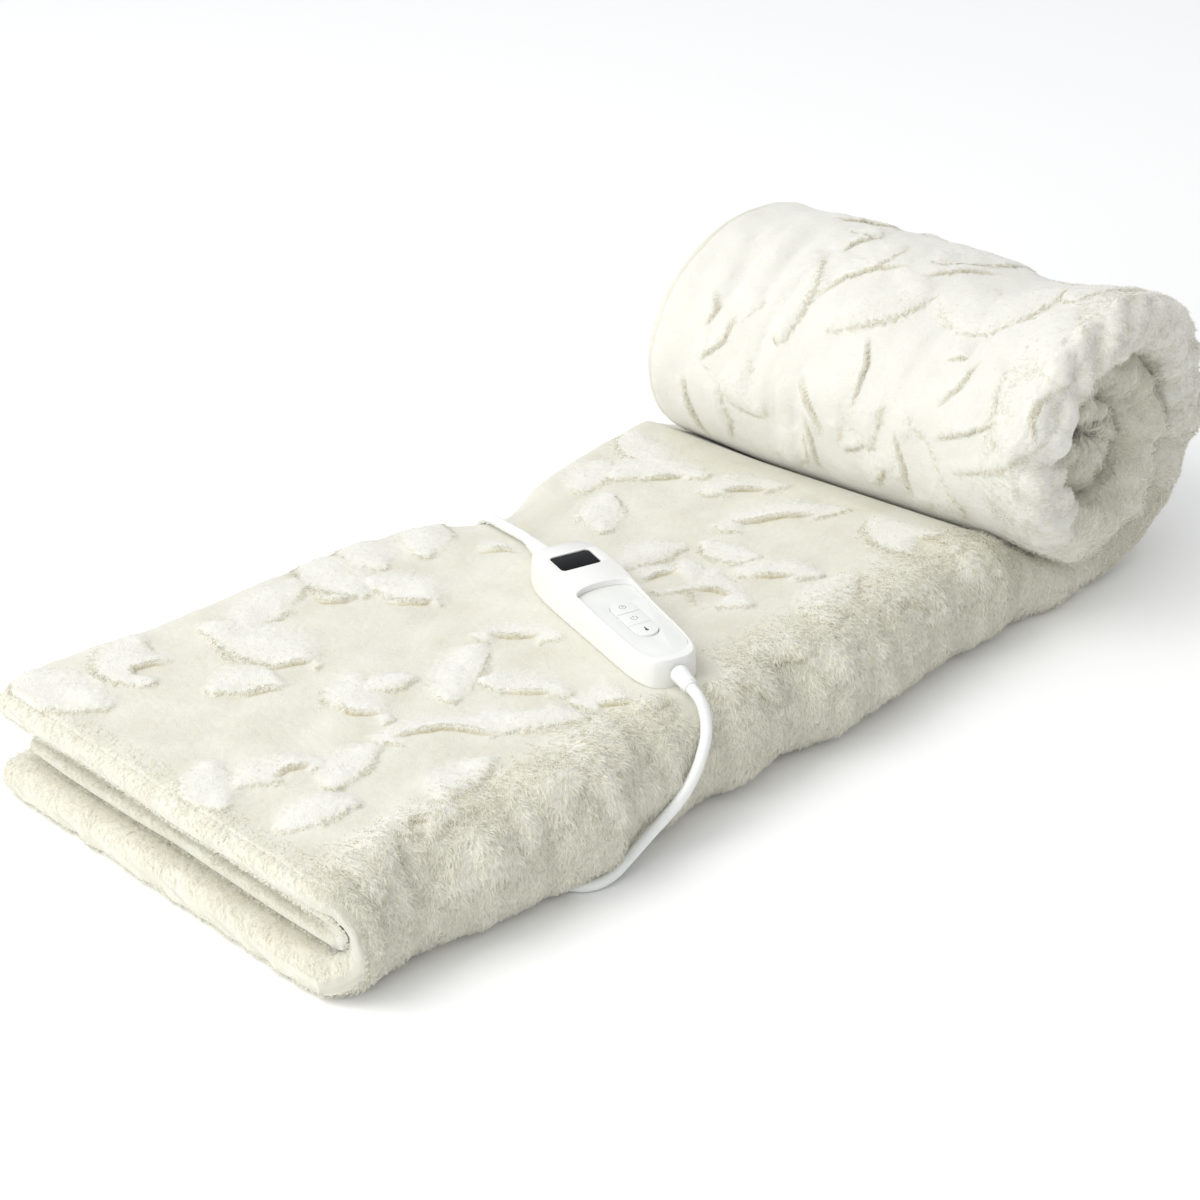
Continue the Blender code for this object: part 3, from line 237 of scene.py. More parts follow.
# Where the pile is pressed under the handset: from and to along it, for the case and with its leads.
CASE_SPAN, LEADS_SPAN, PRESSED_FADE = (-0.012, 0.176), (-0.13, 0.20), 0.010
CLOTH_PRESSED, PILE_PRESSED = (0.0262, 0.0045), (0.0290, 0.0065)  # half widths, at the case and its leads
PULL_DEPTH, PULL_RADIUS = 1.5, 0.100  # of the soft folds: times their table, and the radius they lie on
HEM_STITCH = 0.022  # between two puckers of the lower hem
HEM_PUCKER_DOWN, HEM_PUCKER_OUT, HEM_FLUFF = 0.0042, 0.0016, 0.0014
# Locks of the long pile: how deep they start and their least height, how they lie together and stand.
ROOTED, OFF_FLOOR, LOCK_SIZE = 0.0005, 0.0004, 0.022
LOCK_SWIRL, LOCK_SPREAD, LOCK_UPRIGHT = 0.45, 0.30, 0.22
WINDOW_BED, WINDOW_THICK = 0.0008, 0.0014
INK = 0.00006  # thickness of the print on the keys
LIT = (0.05, 0.0, 0.05)  # where both lights are turned to
LEAD_STEP = 0.003  # between points of a lead
NAP_OVER = 0.0008  # of the naps over the cloth that carries them
NAP_END, NAP_ROUND = 0.578, (40.0, 316.0)  # the end of the band's nap, and the roll's in degrees
# The second value is painted light: how much whiter the roll's pile is painted, where it faces the lamps.
SHAGGY_GIRTH, ROLL_PAINTED_LIGHT = (-0.150, -0.105), 0.70
# Steps of the naps' grids, in steps of the cloth's: along it, across its face and round its edge.
BAND_STEPS, ROLL_STEPS = (0.353, 0.30, 0.9), (0.36, 0.33, 0.6)
FLOW_BAND, FLOW_ROLL = (-0.7, -0.7), (0.8, -0.6)  # the way the pile leans, along the cloth and round it


def placed(points):
    """Band coordinates to the model's."""
    return np.asarray(points, float) - np.array(MIDDLE)


def smoothstep(low, high, value):
    t = np.clip((value - low) / (high - low), 0.0, 1.0)
    return t * t * (3.0 - 2.0 * t)


def bell(value, middle, wide):
    return np.exp(-(((value - middle) / wide) ** 2))


def read_table(table, column, value):
    rows = np.array(table, float)
    return np.interp(value, rows[:, 0], rows[:, column])


def smooth_table(table, column, value):
    """A column of a table read on a smooth curve that doesn't overshoot its rows."""
    rows = np.array(table, float)
    x, y = rows[:, 0], rows[:, column]
    slope = np.diff(y) / np.diff(x)
    inner = np.where(slope[:-1] * slope[1:] > 0, (slope[:-1] + slope[1:]) / 2, 0)
    for steepest in (3 * np.abs(slope[:-1]), 3 * np.abs(slope[1:])):
        inner = np.clip(inner, -steepest, steepest)
    tangent = np.concatenate((slope[:1], inner, slope[-1:]))
    i = np.clip(np.searchsorted(x, value, side="right") - 1, 0, len(x) - 2)
    step = x[i + 1] - x[i]
    t = np.clip((value - x[i]) / step, 0.0, 1.0)
    return (
        y[i] * (2 * t**3 - 3 * t**2 + 1)
        + y[i + 1] * (3 * t**2 - 2 * t**3)
        + step * (tangent[i] * (t**3 - 2 * t**2 + t) + tangent[i + 1] * (t**3 - t**2))
    )


def ripple(x, y, size, seed):
    """A smooth uneven field of about -1 to 1 whose waves are about size long."""
    rng = np.random.default_rng(seed)
    total = np.zeros_like(x, float)
    for _ in range(9):
        angle, wave = rng.uniform(0, math.pi), size * rng.uniform(0.75, 1.6)
        phase = rng.uniform(0, 2 * math.pi)
        total += np.sin((x * math.cos(angle) + y * math.sin(angle)) * 2 * math.pi / wave + phase)
    return total / 4.5


# Materials.


def linear(hexed, alpha=1.0):
    """An sRGB hex colour as linear RGBA."""
    values = [int(hexed[i : i + 2], 16) / 255.0 for i in (1, 3, 5)]
    return (*[v / 12.92 if v <= 0.04045 else ((v + 0.055) / 1.055) ** 2.4 for v in values], alpha)


def add_node(tree, kind, inputs=None, **settings):
    """Adds a shader node, with its settings and with each input set or linked."""
    made = tree.nodes.new("ShaderNode" + kind)
    for name, value in settings.items():
        setattr(made, name, value)
    for name, value in (inputs or {}).items():
        socket = made.inputs[name]
        if isinstance(value, bpy.types.NodeSocket):
            tree.links.new(value, socket)
        else:
            socket.default_value = value
    return made


def mixed(tree, factor, one, other):
    """A colour between two, each a socket or a constant."""
    mix = add_node(tree, "Mix", data_type="RGBA")
    for socket, value in (("Factor", factor), ("A", one), ("B", other)):
        # The node has a socket of each name for every type of data, and the one for colours comes after.
        found = [s for s in mix.inputs if s.name == socket and s.enabled][0]
        if isinstance(value, bpy.types.NodeSocket):
            tree.links.new(value, found)
        else:
            found.default_value = value
    return next(s for s in mix.outputs if s.enabled)


def new_material(name, inputs):
    """A material of one main shader with its inputs set."""
    material = bpy.data.materials.new(name)
    material.use_nodes = True
    tree = material.node_tree
    tree.nodes.clear()
    shader = add_node(tree, "BsdfPrincipled", inputs)
    add_node(tree, "OutputMaterial", {"Surface": shader.outputs["BSDF"]})
    return material, tree, shader


def bumped(tree, shader, height, strength, depth):
    bump = add_node(tree, "Bump", {"Height": height, "Strength": strength, "Distance": depth})
    tree.links.new(bump.outputs["Normal"], shader.inputs["Normal"])


def roughened(tree, shader, pattern, low, high):
    """Lets the roughness wander between two values."""
    rough = add_node(tree, "MapRange", {"Value": pattern.outputs["Fac"], "To Min": low, "To Max": high})
    tree.links.new(rough.outputs["Result"], shader.inputs["Roughness"])


def on_object(tree, scale, detail):
    """An even noise on the piece's own coordinates."""
    place = add_node(tree, "TexCoord").outputs["Object"]
    return add_node(tree, "TexNoise", {"Vector": place, "Scale": scale, "Detail": detail})


FIBRES = {"Roughness": 1.0, "Specular IOR Level": 0.1}


def plush(name):
    """Sheared and sculpted polyester pile: matt, paler where raised, with paler patches of painted sheen, and
    tan painted shade where it parts to its roots.
    """
    look = bpy.context.scene.throw_cloth
    sheen = {"Sheen Weight": 0.45, "Sheen Roughness": 0.5}
    depth = {"Subsurface Weight": 0.3, "Subsurface Radius": (0.004, 0.0036, 0.0028), "Subsurface Scale": 1.0}
    material, tree, shader = new_material(name, FIBRES | sheen | depth)
    cloth_at = add_node(tree, "UVMap", uv_map="cloth").outputs["UV"]
    # rise also carries the roll's painted light; root carries painted shade in the partings and at the
    # petals' feet.
    rise = add_node(tree, "Attribute", attribute_name="rise").outputs["Fac"]
    root = add_node(tree, "Attribute", attribute_name="root").outputs["Fac"]
    # The UV map is in metres of cloth, so a noise scale is one over its size in metres.
    patches = {"Vector": cloth_at, "Scale": 1 / 0.035, "Detail": 3.0, "Roughness": 0.55}
    patches = add_node(tree, "TexNoise", patches).outputs["Fac"]
    # Paler patches of the ground are a painted sheen, where the nap lies towards the light.
    painted_sheen = add_node(tree, "MapRange", {"Value": patches, "From Min": 0.35, "From Max": 0.68})
    ground = mixed(tree, painted_sheen.outputs["Result"], linear(look.ground_hex), linear(look.ground_painted_sheen_hex))
    raised = mixed(tree, rise, ground, linear(look.pile_hex))
    # The partings and the petals' feet get painted shade, tinted tan.
    parting_shade = mixed(tree, root, raised, linear(look.parting_shade_hex))
    tree.links.new(parting_shade, shader.inputs["Base Color"])
    # Fibres 0.03 mm thick don't show, so locks of them are drawn 0.9 mm wide and three times as long.
    lay = add_node(tree, "Mapping", {"Vector": cloth_at, "Rotation": (0.0, 0.0, math.radians(-45.0))})
    lay = add_node(tree, "Mapping", {"Vector": lay.outputs["Vector"], "Scale": (1 / 0.0028, 1 / 0.0009, 1.0)})
    locks = {"Vector": lay.outputs["Vector"], "Scale": 1.0, "Detail": 4.0, "Roughness": 0.7}
    locks = add_node(tree, "TexNoise", locks).outputs["Fac"]
    clumps = add_node(tree, "TexNoise", {"Vector": cloth_at, "Scale": 1 / 0.0045, "Detail": 3.0})
    depth = add_node(tree, "MapRange", {"Value": rise, "To Min": 0.0005, "To Max": 0.0011}).outputs["Result"]
    fine = add_node(tree, "Bump", {"Height": locks, "Strength": 0.6, "Distance": depth}).outputs["Normal"]
    soft = {"Height": clumps.outputs["Fac"], "Strength": 0.5, "Distance": 0.0012, "Normal": fine}
    tree.links.new(add_node(tree, "Bump", soft).outputs["Normal"], shader.inputs["Normal"])
    return material


def pile_strand():
    """Locks of longer pile: fine enough to glow through, and paler towards their tips."""
    look = bpy.context.scene.throw_cloth
    material, tree, shader = new_material("long polyester pile", FIBRES | {"Sheen Weight": 0.4})
    tip = add_node(tree, "Attribute", attribute_name="tip").outputs["Fac"]
    colour = mixed(tree, tip, linear(look.pile_hex), linear(look.tip_hex))
    tree.links.new(colour, shader.inputs["Base Color"])
    glow = add_node(tree, "BsdfTranslucent", {"Color": colour})
    both = add_node(tree, "MixShader", {"Fac": 0.5})
    tree.links.new(shader.outputs["BSDF"], both.inputs[1])
    tree.links.new(glow.outputs["BSDF"], both.inputs[2])
    output = next(node for node in tree.nodes if node.type == "OUTPUT_MATERIAL")
    tree.links.new(both.outputs["Shader"], output.inputs["Surface"])
    return material


def moulded(name, hexed, roughness, grain_mm, depth_mm, coat=0.0):
    """Injection-moulded plastic: an even colour with the fine grain of its mould, a little worn."""
    inputs = {"Base Color": linear(hexed), "Roughness": roughness}
    material, tree, shader = new_material(name, inputs | {"Coat Weight": coat, "Coat Roughness": 0.15})
    grain = on_object(tree, 1000.0 / grain_mm, 3.0)
    bumped(tree, shader, grain.outputs["Fac"], 0.4, depth_mm / 1000.0)
    roughened(tree, shader, on_object(tree, 60.0, 4.0), roughness - 0.05, roughness + 0.06)
    return material


def smoked_window():
    """A dark acrylic window, polished, over an unlit display."""
    inputs = {"Base Color": linear("#06090B"), "IOR": 1.35, "Specular IOR Level": 0.2}
    material, tree, shader = new_material("smoked acrylic window", inputs)
    roughened(tree, shader, on_object(tree, 900.0, 2.0), 0.10, 0.20)
    return material


def plated_pins():
    """Nickel-plated brass pins, drawn and polished."""
    inputs = {"Base Color": linear("#CFCBC2"), "Metallic": 1.0}
    material, tree, shader = new_material("nickel-plated brass", inputs)
    place = add_node(tree, "TexCoord").outputs["Object"]
    stretch = add_node(tree, "Mapping", {"Vector": place, "Scale": (4000.0, 200.0, 4000.0)})
    drawn = add_node(tree, "TexNoise", {"Vector": stretch.outputs["Vector"], "Scale": 1.0, "Detail": 2.0})
    roughened(tree, shader, drawn, 0.16, 0.34)
    return material


def woven_strap():
    """Black nylon tape with a looped face."""
    inputs = {"Base Color": linear("#1B1B1C"), "Roughness": 0.85}
    material, tree, shader = new_material("woven nylon tape", inputs)
    place = add_node(tree, "TexCoord").outputs["Object"]
    loops = add_node(tree, "TexVoronoi", {"Vector": place, "Scale": 1 / 0.0009})
    bumped(tree, shader, loops.outputs["Distance"], 0.6, 0.0004)
    return material


def studio_floor():
    """White studio paper: matt, with a faint grain."""
    colour = linear(bpy.context.scene.throw_stage.floor_hex)
    inputs = {"Base Color": colour, "Roughness": 0.9, "Specular IOR Level": 0.1}
    material, tree, shader = new_material("matt studio paper", inputs)
    bumped(tree, shader, on_object(tree, 700.0, 3.0).outputs["Fac"], 0.1, 0.0002)
    return material


# Shared making.


def deselect():
    for obj in list(bpy.context.selected_objects):
        obj.select_set(False)


def activate(obj):
    deselect()
    obj.select_set(True)
    bpy.context.view_layer.objects.active = obj


@contextmanager
def editing(obj):
    """In edit mode, with all of the piece selected."""
    activate(obj)
    bpy.ops.object.mode_set(mode="EDIT")
    bpy.ops.mesh.select_all(action="SELECT")
    yield
    bpy.ops.object.mode_set(mode="OBJECT")


def face_outwards(obj):
    with editing(obj):
        bpy.ops.mesh.normals_make_consistent(inside=False)
    return obj


def finish_piece(obj, material, body, *nodes):
    """Gives the piece its material and body, and hides the solids that it stands for."""
    obj.data.materials.clear()
    obj.data.materials.append(material)
    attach(obj, body)
    if nodes:
        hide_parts(*nodes)
    return obj


def mesh_object(name, points, faces, smooth=True):
    mesh = bpy.data.meshes.new(name)
    mesh.from_pydata(np.asarray(points).tolist(), [], faces)
    obj = bpy.data.objects.new(name, mesh)
    bpy.context.scene.collection.objects.link(obj)
    if smooth:
        mesh.shade_smooth()
    return obj


def apply_modifier(obj, kind, **settings):
    activate(obj)
    modifier = obj.modifiers.new(kind.lower(), kind)
    for name, value in settings.items():
        setattr(modifier, name, value)
    bpy.ops.object.modifier_apply(modifier=modifier.name)


def ease_angles(obj, width, segments, degrees):
    """Rounds all edges sharper than an angle."""
    limit = {"limit_method": "ANGLE", "angle_limit": math.radians(degrees)}
    apply_modifier(obj, "BEVEL", width=width, segments=segments, harden_normals=False, **limit)


def shade(obj, degrees):
    activate(obj)
    bpy.ops.object.shade_smooth_by_angle(angle=math.radians(degrees))


def select_edges(obj, wanted):
    """In edit mode, selects just the edges that wanted says, by their two end points."""
    activate(obj)
    bpy.ops.object.mode_set(mode="EDIT")
    bpy.ops.mesh.select_mode(type="EDGE")
    bpy.ops.mesh.select_all(action="DESELECT")
    shape = bmesh.from_edit_mesh(obj.data)
    for edge in shape.edges:
        edge.select = wanted(edge.verts[0].co, edge.verts[1].co)
    shape.select_flush_mode()
    bmesh.update_edit_mesh(obj.data)


def block(name, low, high, corner=0.0, edge=0.0, steps=6):
    """A block from its low to its high corner, its upright edges rounded and then its top rim eased."""
    deselect()
    middle = [(a + b) / 2 for a, b in zip(low, high)]
    bpy.ops.mesh.primitive_cube_add(size=1.0, location=middle)
    obj = bpy.context.active_object
    obj.name = obj.data.name = name
    obj.scale = [b - a for a, b in zip(low, high)]
    bpy.ops.object.transform_apply(location=True, rotation=True, scale=True)
    if corner:
        select_edges(obj, lambda a, b: abs(a.z - b.z) > 1e-6)
        bpy.ops.mesh.bevel(offset=corner, segments=steps, affect="EDGES")
        bpy.ops.object.mode_set(mode="OBJECT")
    if edge:
        ease_rim(obj, high[2], edge)
    return obj


def ease_rim(obj, height, width, steps=3):
    """Rounds the rim of a piece's flat top."""
    select_edges(obj, lambda a, b: abs(a.z - height) < 1e-6 and abs(b.z - height) < 1e-6)
    bpy.ops.mesh.bevel(offset=width, segments=steps, affect="EDGES", clamp_overlap=True)
    bpy.ops.object.mode_set(mode="OBJECT")


def lay_on_band(obj):
    """Handset coordinates, along from the far tip, to the model's."""
    turn = Matrix.Rotation(CASE_HEADING, 4, "Z")
    obj.data.transform(Matrix.Translation(CASE_START - MIDDLE) @ turn)


def case_way(along, up):
    """A way in band coordinates, from one along the case and one up."""
    return Vector((along * math.cos(CASE_HEADING), along * math.sin(CASE_HEADING), up))


def turned(name, profile, start, aim, steps=28):
    """A piece turned about its axis: a circle is added, then drawn out and resized along the profile."""
    deselect()
    bpy.ops.mesh.primitive_circle_add(vertices=steps, radius=profile[0][1], fill_type="NGON")
    obj = bpy.context.active_object
    obj.name = obj.data.name = name
    with editing(obj):
        for (x0, r0), (x1, r1) in zip(profile, profile[1:]):
            bpy.ops.mesh.extrude_region_move(TRANSFORM_OT_translate={"value": (0.0, 0.0, x1 - x0)})
            bpy.ops.transform.resize(value=(r1 / r0, r1 / r0, 1.0), center_override=(0.0, 0.0, x1))
    face_outwards(obj)
    turn = aim.to_track_quat("Z", "Y").to_matrix().to_4x4()
    obj.data.transform(Matrix.Translation(start - MIDDLE) @ turn)
    return obj


# The leads.


def smooth_route(points, spacing=LEAD_STEP):
    """Points at about even spacing on a smooth curve; the first and last pieces stay straight."""
    given = [Vector(p) for p in points]
    line = []
    for before, a, b, after in zip(given, given[1:], given[2:], given[3:]):
        for t in np.linspace(0.0, 1.0, 12, endpoint=False):
            line.append(
                a * (2 * t**3 - 3 * t**2 + 1)
                + (b - before) * (0.5 * (t**3 - 2 * t**2 + t))
                + b * (3 * t**2 - 2 * t**3)
                + (after - a) * (0.5 * (t**3 - t**2))
            )
    line.append(given[-2])
    lengths = np.concatenate(((0.0,), np.cumsum([(b - a).length for a, b in zip(line, line[1:])])))
    wanted = np.linspace(0.0, lengths[-1], round(lengths[-1] / spacing) + 1)
    columns = [np.interp(wanted, lengths, [p[axis] for p in line]) for axis in range(3)]
    return [tuple(points[0]), *zip(*columns), tuple(points[-1])]


def mouth_points(start, aim, profile):
    mouth = start + aim * (profile[-1][0] + CLEAR)
    return (tuple(mouth), tuple(mouth + aim * STRAIGHT))


def coil_points():
    """The wound length: three turns in, a step up, and three turns out on top of them."""
    step = COIL_TURN_RADII[1] - COIL_TURN_RADII[0]
    points = []
    for turn in np.arange(0.0, 6.0001, 1 / 60):
        inward = turn < 3.0
        own = turn if inward else turn - 3.0
        whole = min(int(own), 2)
        over = smoothstep(0.8, 1.0, own - whole) if whole < 2 else 0.0
        moved = step * (whole + over)
        radius = COIL_TURN_RADII[-1] - moved if inward else COIL_TURN_RADII[0] + moved
        height = COIL_LOW + (COIL_HIGH - COIL_LOW) * smoothstep(2.5, 2.8, turn)
        angle = 2 * math.pi * turn - math.pi / 2
        x, y = radius * math.cos(angle), radius * math.sin(angle)
        points.append((COIL_MIDDLE[0] + x, COIL_MIDDLE[1] + y, height))
    return points


def tube(name, points):
    curve = bpy.data.curves.new(name, "CURVE")
    curve.dimensions = "3D"
    curve.bevel_depth = bpy.context.scene.throw_leads.diameter / 2
    curve.bevel_resolution = 4
    curve.use_fill_caps = True
    spline = curve.splines.new("POLY")
    spline.points.add(len(points) - 1)
    for target, point in zip(spline.points, placed(points)):
        target.co = (*point, 1.0)
    obj = bpy.data.objects.new(name, curve)
    bpy.context.scene.collection.objects.link(obj)
    return obj


# The cloth, as one grid of points: sections along it, and points round each section.


def stack_levels(along, degrees, plump):
    """Heights of the eight faces, top of layer 1 down to the bottom of layer 4."""
    to_band = smoothstep(0.0, END_REACH, along)
    to_roll = smoothstep(0.50, ROLL_ALONG, along)
    shares = np.array(SHARES_END) * (1.0 - to_band) + np.array(SHARES_BAND) * to_band
    shares = shares * (1.0 - to_roll) + np.array(SHARES_ROLL) * to_roll
    height = float(read_table(ROLL_THICK, 1, degrees) if degrees > 0.0 else read_table(STACK, 1, along))
    levels = height * (1.0 - np.concatenate(((0.0,), np.cumsum(shares))))
    levels[-1] = 0.0
    for top in range(0, 8, 2):
        middle = (levels[top] + levels[top + 1]) / 2.0
        half = (levels[top] - levels[top + 1]) / 2.0 * plump
        levels[top], levels[top + 1] = middle + half, middle - half
    return levels


def bulges(table, along):
    return sum(out * float(bell(along, middle, wide)) for middle, wide, out in table)


def edge_out(along, degrees):
    """How far the near fold and the far edge stand out: they are uneven, and calm as the roll starts."""
    fade = float(1.0 - smoothstep(10.0, 90.0, degrees))
    fine = 0.0008 * math.sin(along * 210.0 + 1.0) + 0.0006 * math.sin(along * 340.0)
    near = NEAR_OUT - 0.002 * math.sin(along * 88.0 + 0.6) - fine + bulges(NEAR_BULGES, along) - NAP_INSET
    return near * fade, bulges(FAR_BULGES, along) * fade


def rim_lumps(degrees):
    """The rolled fold's rim stands in and out, and more so in short lumps."""
    turn = math.radians(degrees)
    swell = 0.0020 * math.sin(7.0 * turn + 1.0) + 0.0015 * math.sin(13.0 * turn)
    swell += 0.0008 * math.sin(23.0 * turn)
    return swell * float(smoothstep(10.0, 60.0, degrees))


def cord_dent(along):
    """The mains lead presses the far edge in and down where it crosses."""
    return bell(along, DENT_ALONG, DENT_WIDE)


RUN_POINTS = {"face": 60, "near": 20, "far": 10, "inner": 9, "tuck": 8, "tip": 3}


def section(along, degrees, plump):
    """One section, round one back-and-forth sheet: rows of across, up, layer and place along the sheet."""
    levels = stack_levels(along, degrees, plump)
    top_1, under_1, top_2, under_2, top_3, under_3, top_4, under_4 = levels
    on_floor = degrees == 0.0
    dent = cord_dent(along) if on_floor else 0.0
    bulge = NEAR_BULGE * (top_1 - under_4)
    near_out, far_out = edge_out(along, degrees)
    near = -BAND_WIDTH / 2.0 + bulge - near_out + rim_lumps(degrees)
    near_in = near + FOLD_STEP
    hairpin = 0.8 * (top_1 - under_2) / 2.0
    edge = BAND_WIDTH / 2.0 + far_out
    far = edge - hairpin - DENT_IN * dent
    far_3 = edge - SETBACK_3 - 0.7 * DENT_IN * dent
    far_4 = edge - SETBACK_4 - 0.4 * DENT_IN * dent
    in_bulge = bulge - (top_1 - under_1 + top_4 - under_4) / 2.0 * INNER_SHARE
    tuck = max(in_bulge - 0.001, 0.003)
    tuck_in = max(tuck - (top_2 - under_2 + top_3 - under_3) / 2.0 * INNER_SHARE, 0.0012)
    rows = []

    def run(start, end, level, count, layer, place, back=False):
        t = np.linspace(0.0, 1.0, RUN_POINTS[count])
        places = place - t if back else place + t
        rows.append(np.stack([start + (end - start) * t, level + 0 * t, layer + 0 * t, places], 1))

    def bend(across, one, other, depth, count, layers, places, towards=-1.0):
        share = np.arange(1, RUN_POINTS[count] + 1) / (RUN_POINTS[count] + 1)
        angle = math.pi * (0.5 - share)
        x = across + towards * depth * np.cos(angle)
        z = (one + other) / 2.0 + (one - other) / 2.0 * np.sin(angle)
        layer, place = (a + (b - a) * share for a, b in (layers, places))
        rows.append(np.stack([x, z, layer, place], 1))

    run(far_4, near, under_4, "face", 4, 0.0)
    bend(near, under_4, top_1, bulge, "near", (4, 1), (1, 2))
    run(near, far, top_1, "face", 1, 2.0)
    bend(far, top_1, under_2, hairpin, "far", (1, 2), (3, 4), 1.0)
    run(far, near_in, under_2, "inner", 2, 4.0)
    bend(near_in, under_2, top_3, tuck_in, "tip", (2, 3), (5, 6))
    run(near_in, far_3, top_3, "inner", 3, 6.0)
    bend(far_3, top_3, under_3, 0.4 * (top_3 - under_3), "tip", (3, 3), (7, 7), 1.0)
    run(far_3, near_in, under_3, "inner", 3, 7.0, True)
    bend(near_in, under_3, top_2, tuck, "tuck", (3, 2), (6, 5))
    run(near_in, far, top_2, "inner", 2, 5.0, True)
    bend(far, top_2, under_1, 0.6 * (under_1 - top_2) / 2.0, "tip", (2, 1), (4, 3), 1.0)
    run(far, near, under_1, "inner", 1, 3.0, True)
    bend(near, under_1, top_4, in_bulge, "tuck", (1, 4), (2, 1))
    run(near, far_4, top_4, "inner", 4, 1.0, True)
    bend(far_4, top_4, under_4, 0.4 * (top_4 - under_4), "tip", (4, 4), (0, 0), 1.0)
    return np.concatenate(rows)


UNDER = slice(0, RUN_POINTS["face"])
NEAR = slice(UNDER.stop, UNDER.stop + RUN_POINTS["near"])
TOP = slice(NEAR.stop, NEAR.stop + RUN_POINTS["face"])
FAR = slice(TOP.stop, TOP.stop + RUN_POINTS["far"])
FIRST_TURNED_BACK = FAR.stop + 2 * RUN_POINTS["inner"] + 2 * RUN_POINTS["tip"]


def cut_faces(places):
    """Triangles across the cut sheet, as it winds from its first free edge to the other."""
    up, down, faces = 0, len(places) - 1, []
    while down > up + 1:
        if up < FIRST_TURNED_BACK - 1 and (places[up + 1] <= places[down - 1] or down <= FIRST_TURNED_BACK):
            faces.append((up, up + 1, down))
            up += 1
        else:
            faces.append((up, down - 1, down))
            down -= 1
    return faces


def stations():
    """Along, degrees and plumpness of each section, from the open end to the roll's core."""
    turned_in = np.linspace(0.0, math.pi / 2, 7)
    hem = [(HEM * (1.0 - math.cos(t)), 0.0, 0.32 + 0.68 * math.sin(t)) for t in turned_in]
    flat = [(along, 0.0, 1.0) for along in np.linspace(0.0142, 0.550, 120)]
    slope = [(along, 0.0, 1.0) for along in np.linspace(0.557, ROLL_ALONG, 16)]
    spans = ((6, 150, 6), (150, 312, 4), (314, 360, 6), (362, ROLL_END_DEG, 8))
    turns = np.concatenate([np.arange(*span) for span in spans])
    rolled = [(ROLL_ALONG, float(d), 1.0) for d in turns] + [(ROLL_ALONG, ROLL_END_DEG, 0.6)]
    return hem + flat + slope + rolled


def rolled_length(degrees):
    return np.radians(degrees) * (ROLL_RADIUS - ROLL_PITCH * degrees / 720.0)


def heave(along, up):
    """How much of the far side's heave a place near the roll has: none on the floor or up on the roll."""
    near_roll = bell(along, HEAVE_ALONG, HEAVE_WIDE)
    return near_roll * smoothstep(*HEAVE_UP, up) * (1.0 - smoothstep(*HEAVE_DOWN, up))


def on_path(along, degrees, across, up, layer):
    """Where points of a section lie: flat along the band, then round the spiral. All are arrays."""
    setback = np.interp(layer, (1, 2, 3, 4), LAYER_SETBACK) * (1.0 - smoothstep(0.0, SETBACK_REACH, along))
    down = DENT_DOWN * cord_dent(along) * smoothstep(*DENT_ACROSS, across)
    turn = np.radians(degrees)
    radius = ROLL_RADIUS - ROLL_PITCH * degrees / 360.0 - up
    height = ROLL_RADIUS - radius * np.cos(turn)
    flat = degrees <= 0.0
    x = np.where(flat, along + setback, ROLL_ALONG + ROLL_WIDE * radius * np.sin(turn))
    shifted = across + np.interp(degrees, *np.array(SHIFT).T)
    flared = shifted * (1.0 + np.where(shifted > 0.0, *ROLL_FLARE) * smoothstep(*FLARE_FROM_TO, height))
    y = np.where(flat, across, flared)
    z = np.where(flat, up * (1.0 - down), height - ROLL_SAG * smoothstep(*SAG_FROM_TO, height))
    rolled = smoothstep(*SKEW_FROM_TO, x)
    z = z * (1.0 - ROLL_TAPER * y * rolled)
    hollow = HOLLOW_DEEP * bell(y, HOLLOW_ACROSS, HOLLOW_WIDE)
    raised = FAR_HEAVE * heave(x, z) * smoothstep(*HEAVE_ACROSS, y)
    z = z + raised - hollow * smoothstep(*HOLLOW_FROM_TO, z)
    return np.stack([x - ROLL_SKEW * y * rolled, y, z], -1)


def outward(points, wrapped=False):
    """Normals of a grid of points, from each one's neighbours along and round the cloth."""
    down = np.gradient(points, axis=0)
    if wrapped:
        ring = np.concatenate((points[:, -1:], points, points[:, :1]), axis=1)
        round_it = (ring[:, 2:] - ring[:, :-2]) / 2.0
    else:
        round_it = np.gradient(points, axis=1)
    normal = np.cross(down, round_it)
    return normal / np.maximum(np.linalg.norm(normal, axis=-1, keepdims=True), 1e-12)


def cloth_place(table, on_roll):
    """Charted places, as columns of along (or degrees) and across, on the flat cloth in metres."""
    rows = np.array(table, float)
    first = ROLL_ALONG + rolled_length(rows[:, 0]) if on_roll else rows[:, 0] / 1000.0
    return np.stack([first, rows[:, 1] / 1000.0], 1)


def petal_shapes(petals, on_roll):
    """Each petal as points of its bowed middle line on the cloth, and its width, in metres."""
    shapes = []
    for petal in petals:
        heading, length, width, bend = petal[2:]
        out = np.array((math.cos(math.radians(heading)), math.sin(math.radians(heading))))
        side = np.array((-out[1], out[0]))
        t = np.linspace(-0.5, 0.5, 9)[:, None]
        bowed = (out * t + side * bend * (0.25 - t * t) * 2.0) * (length / 1000.0)
        shapes.append((cloth_place([petal[:2]], on_roll) + bowed, width * PETAL_SPREAD / 1000.0))
    return shapes


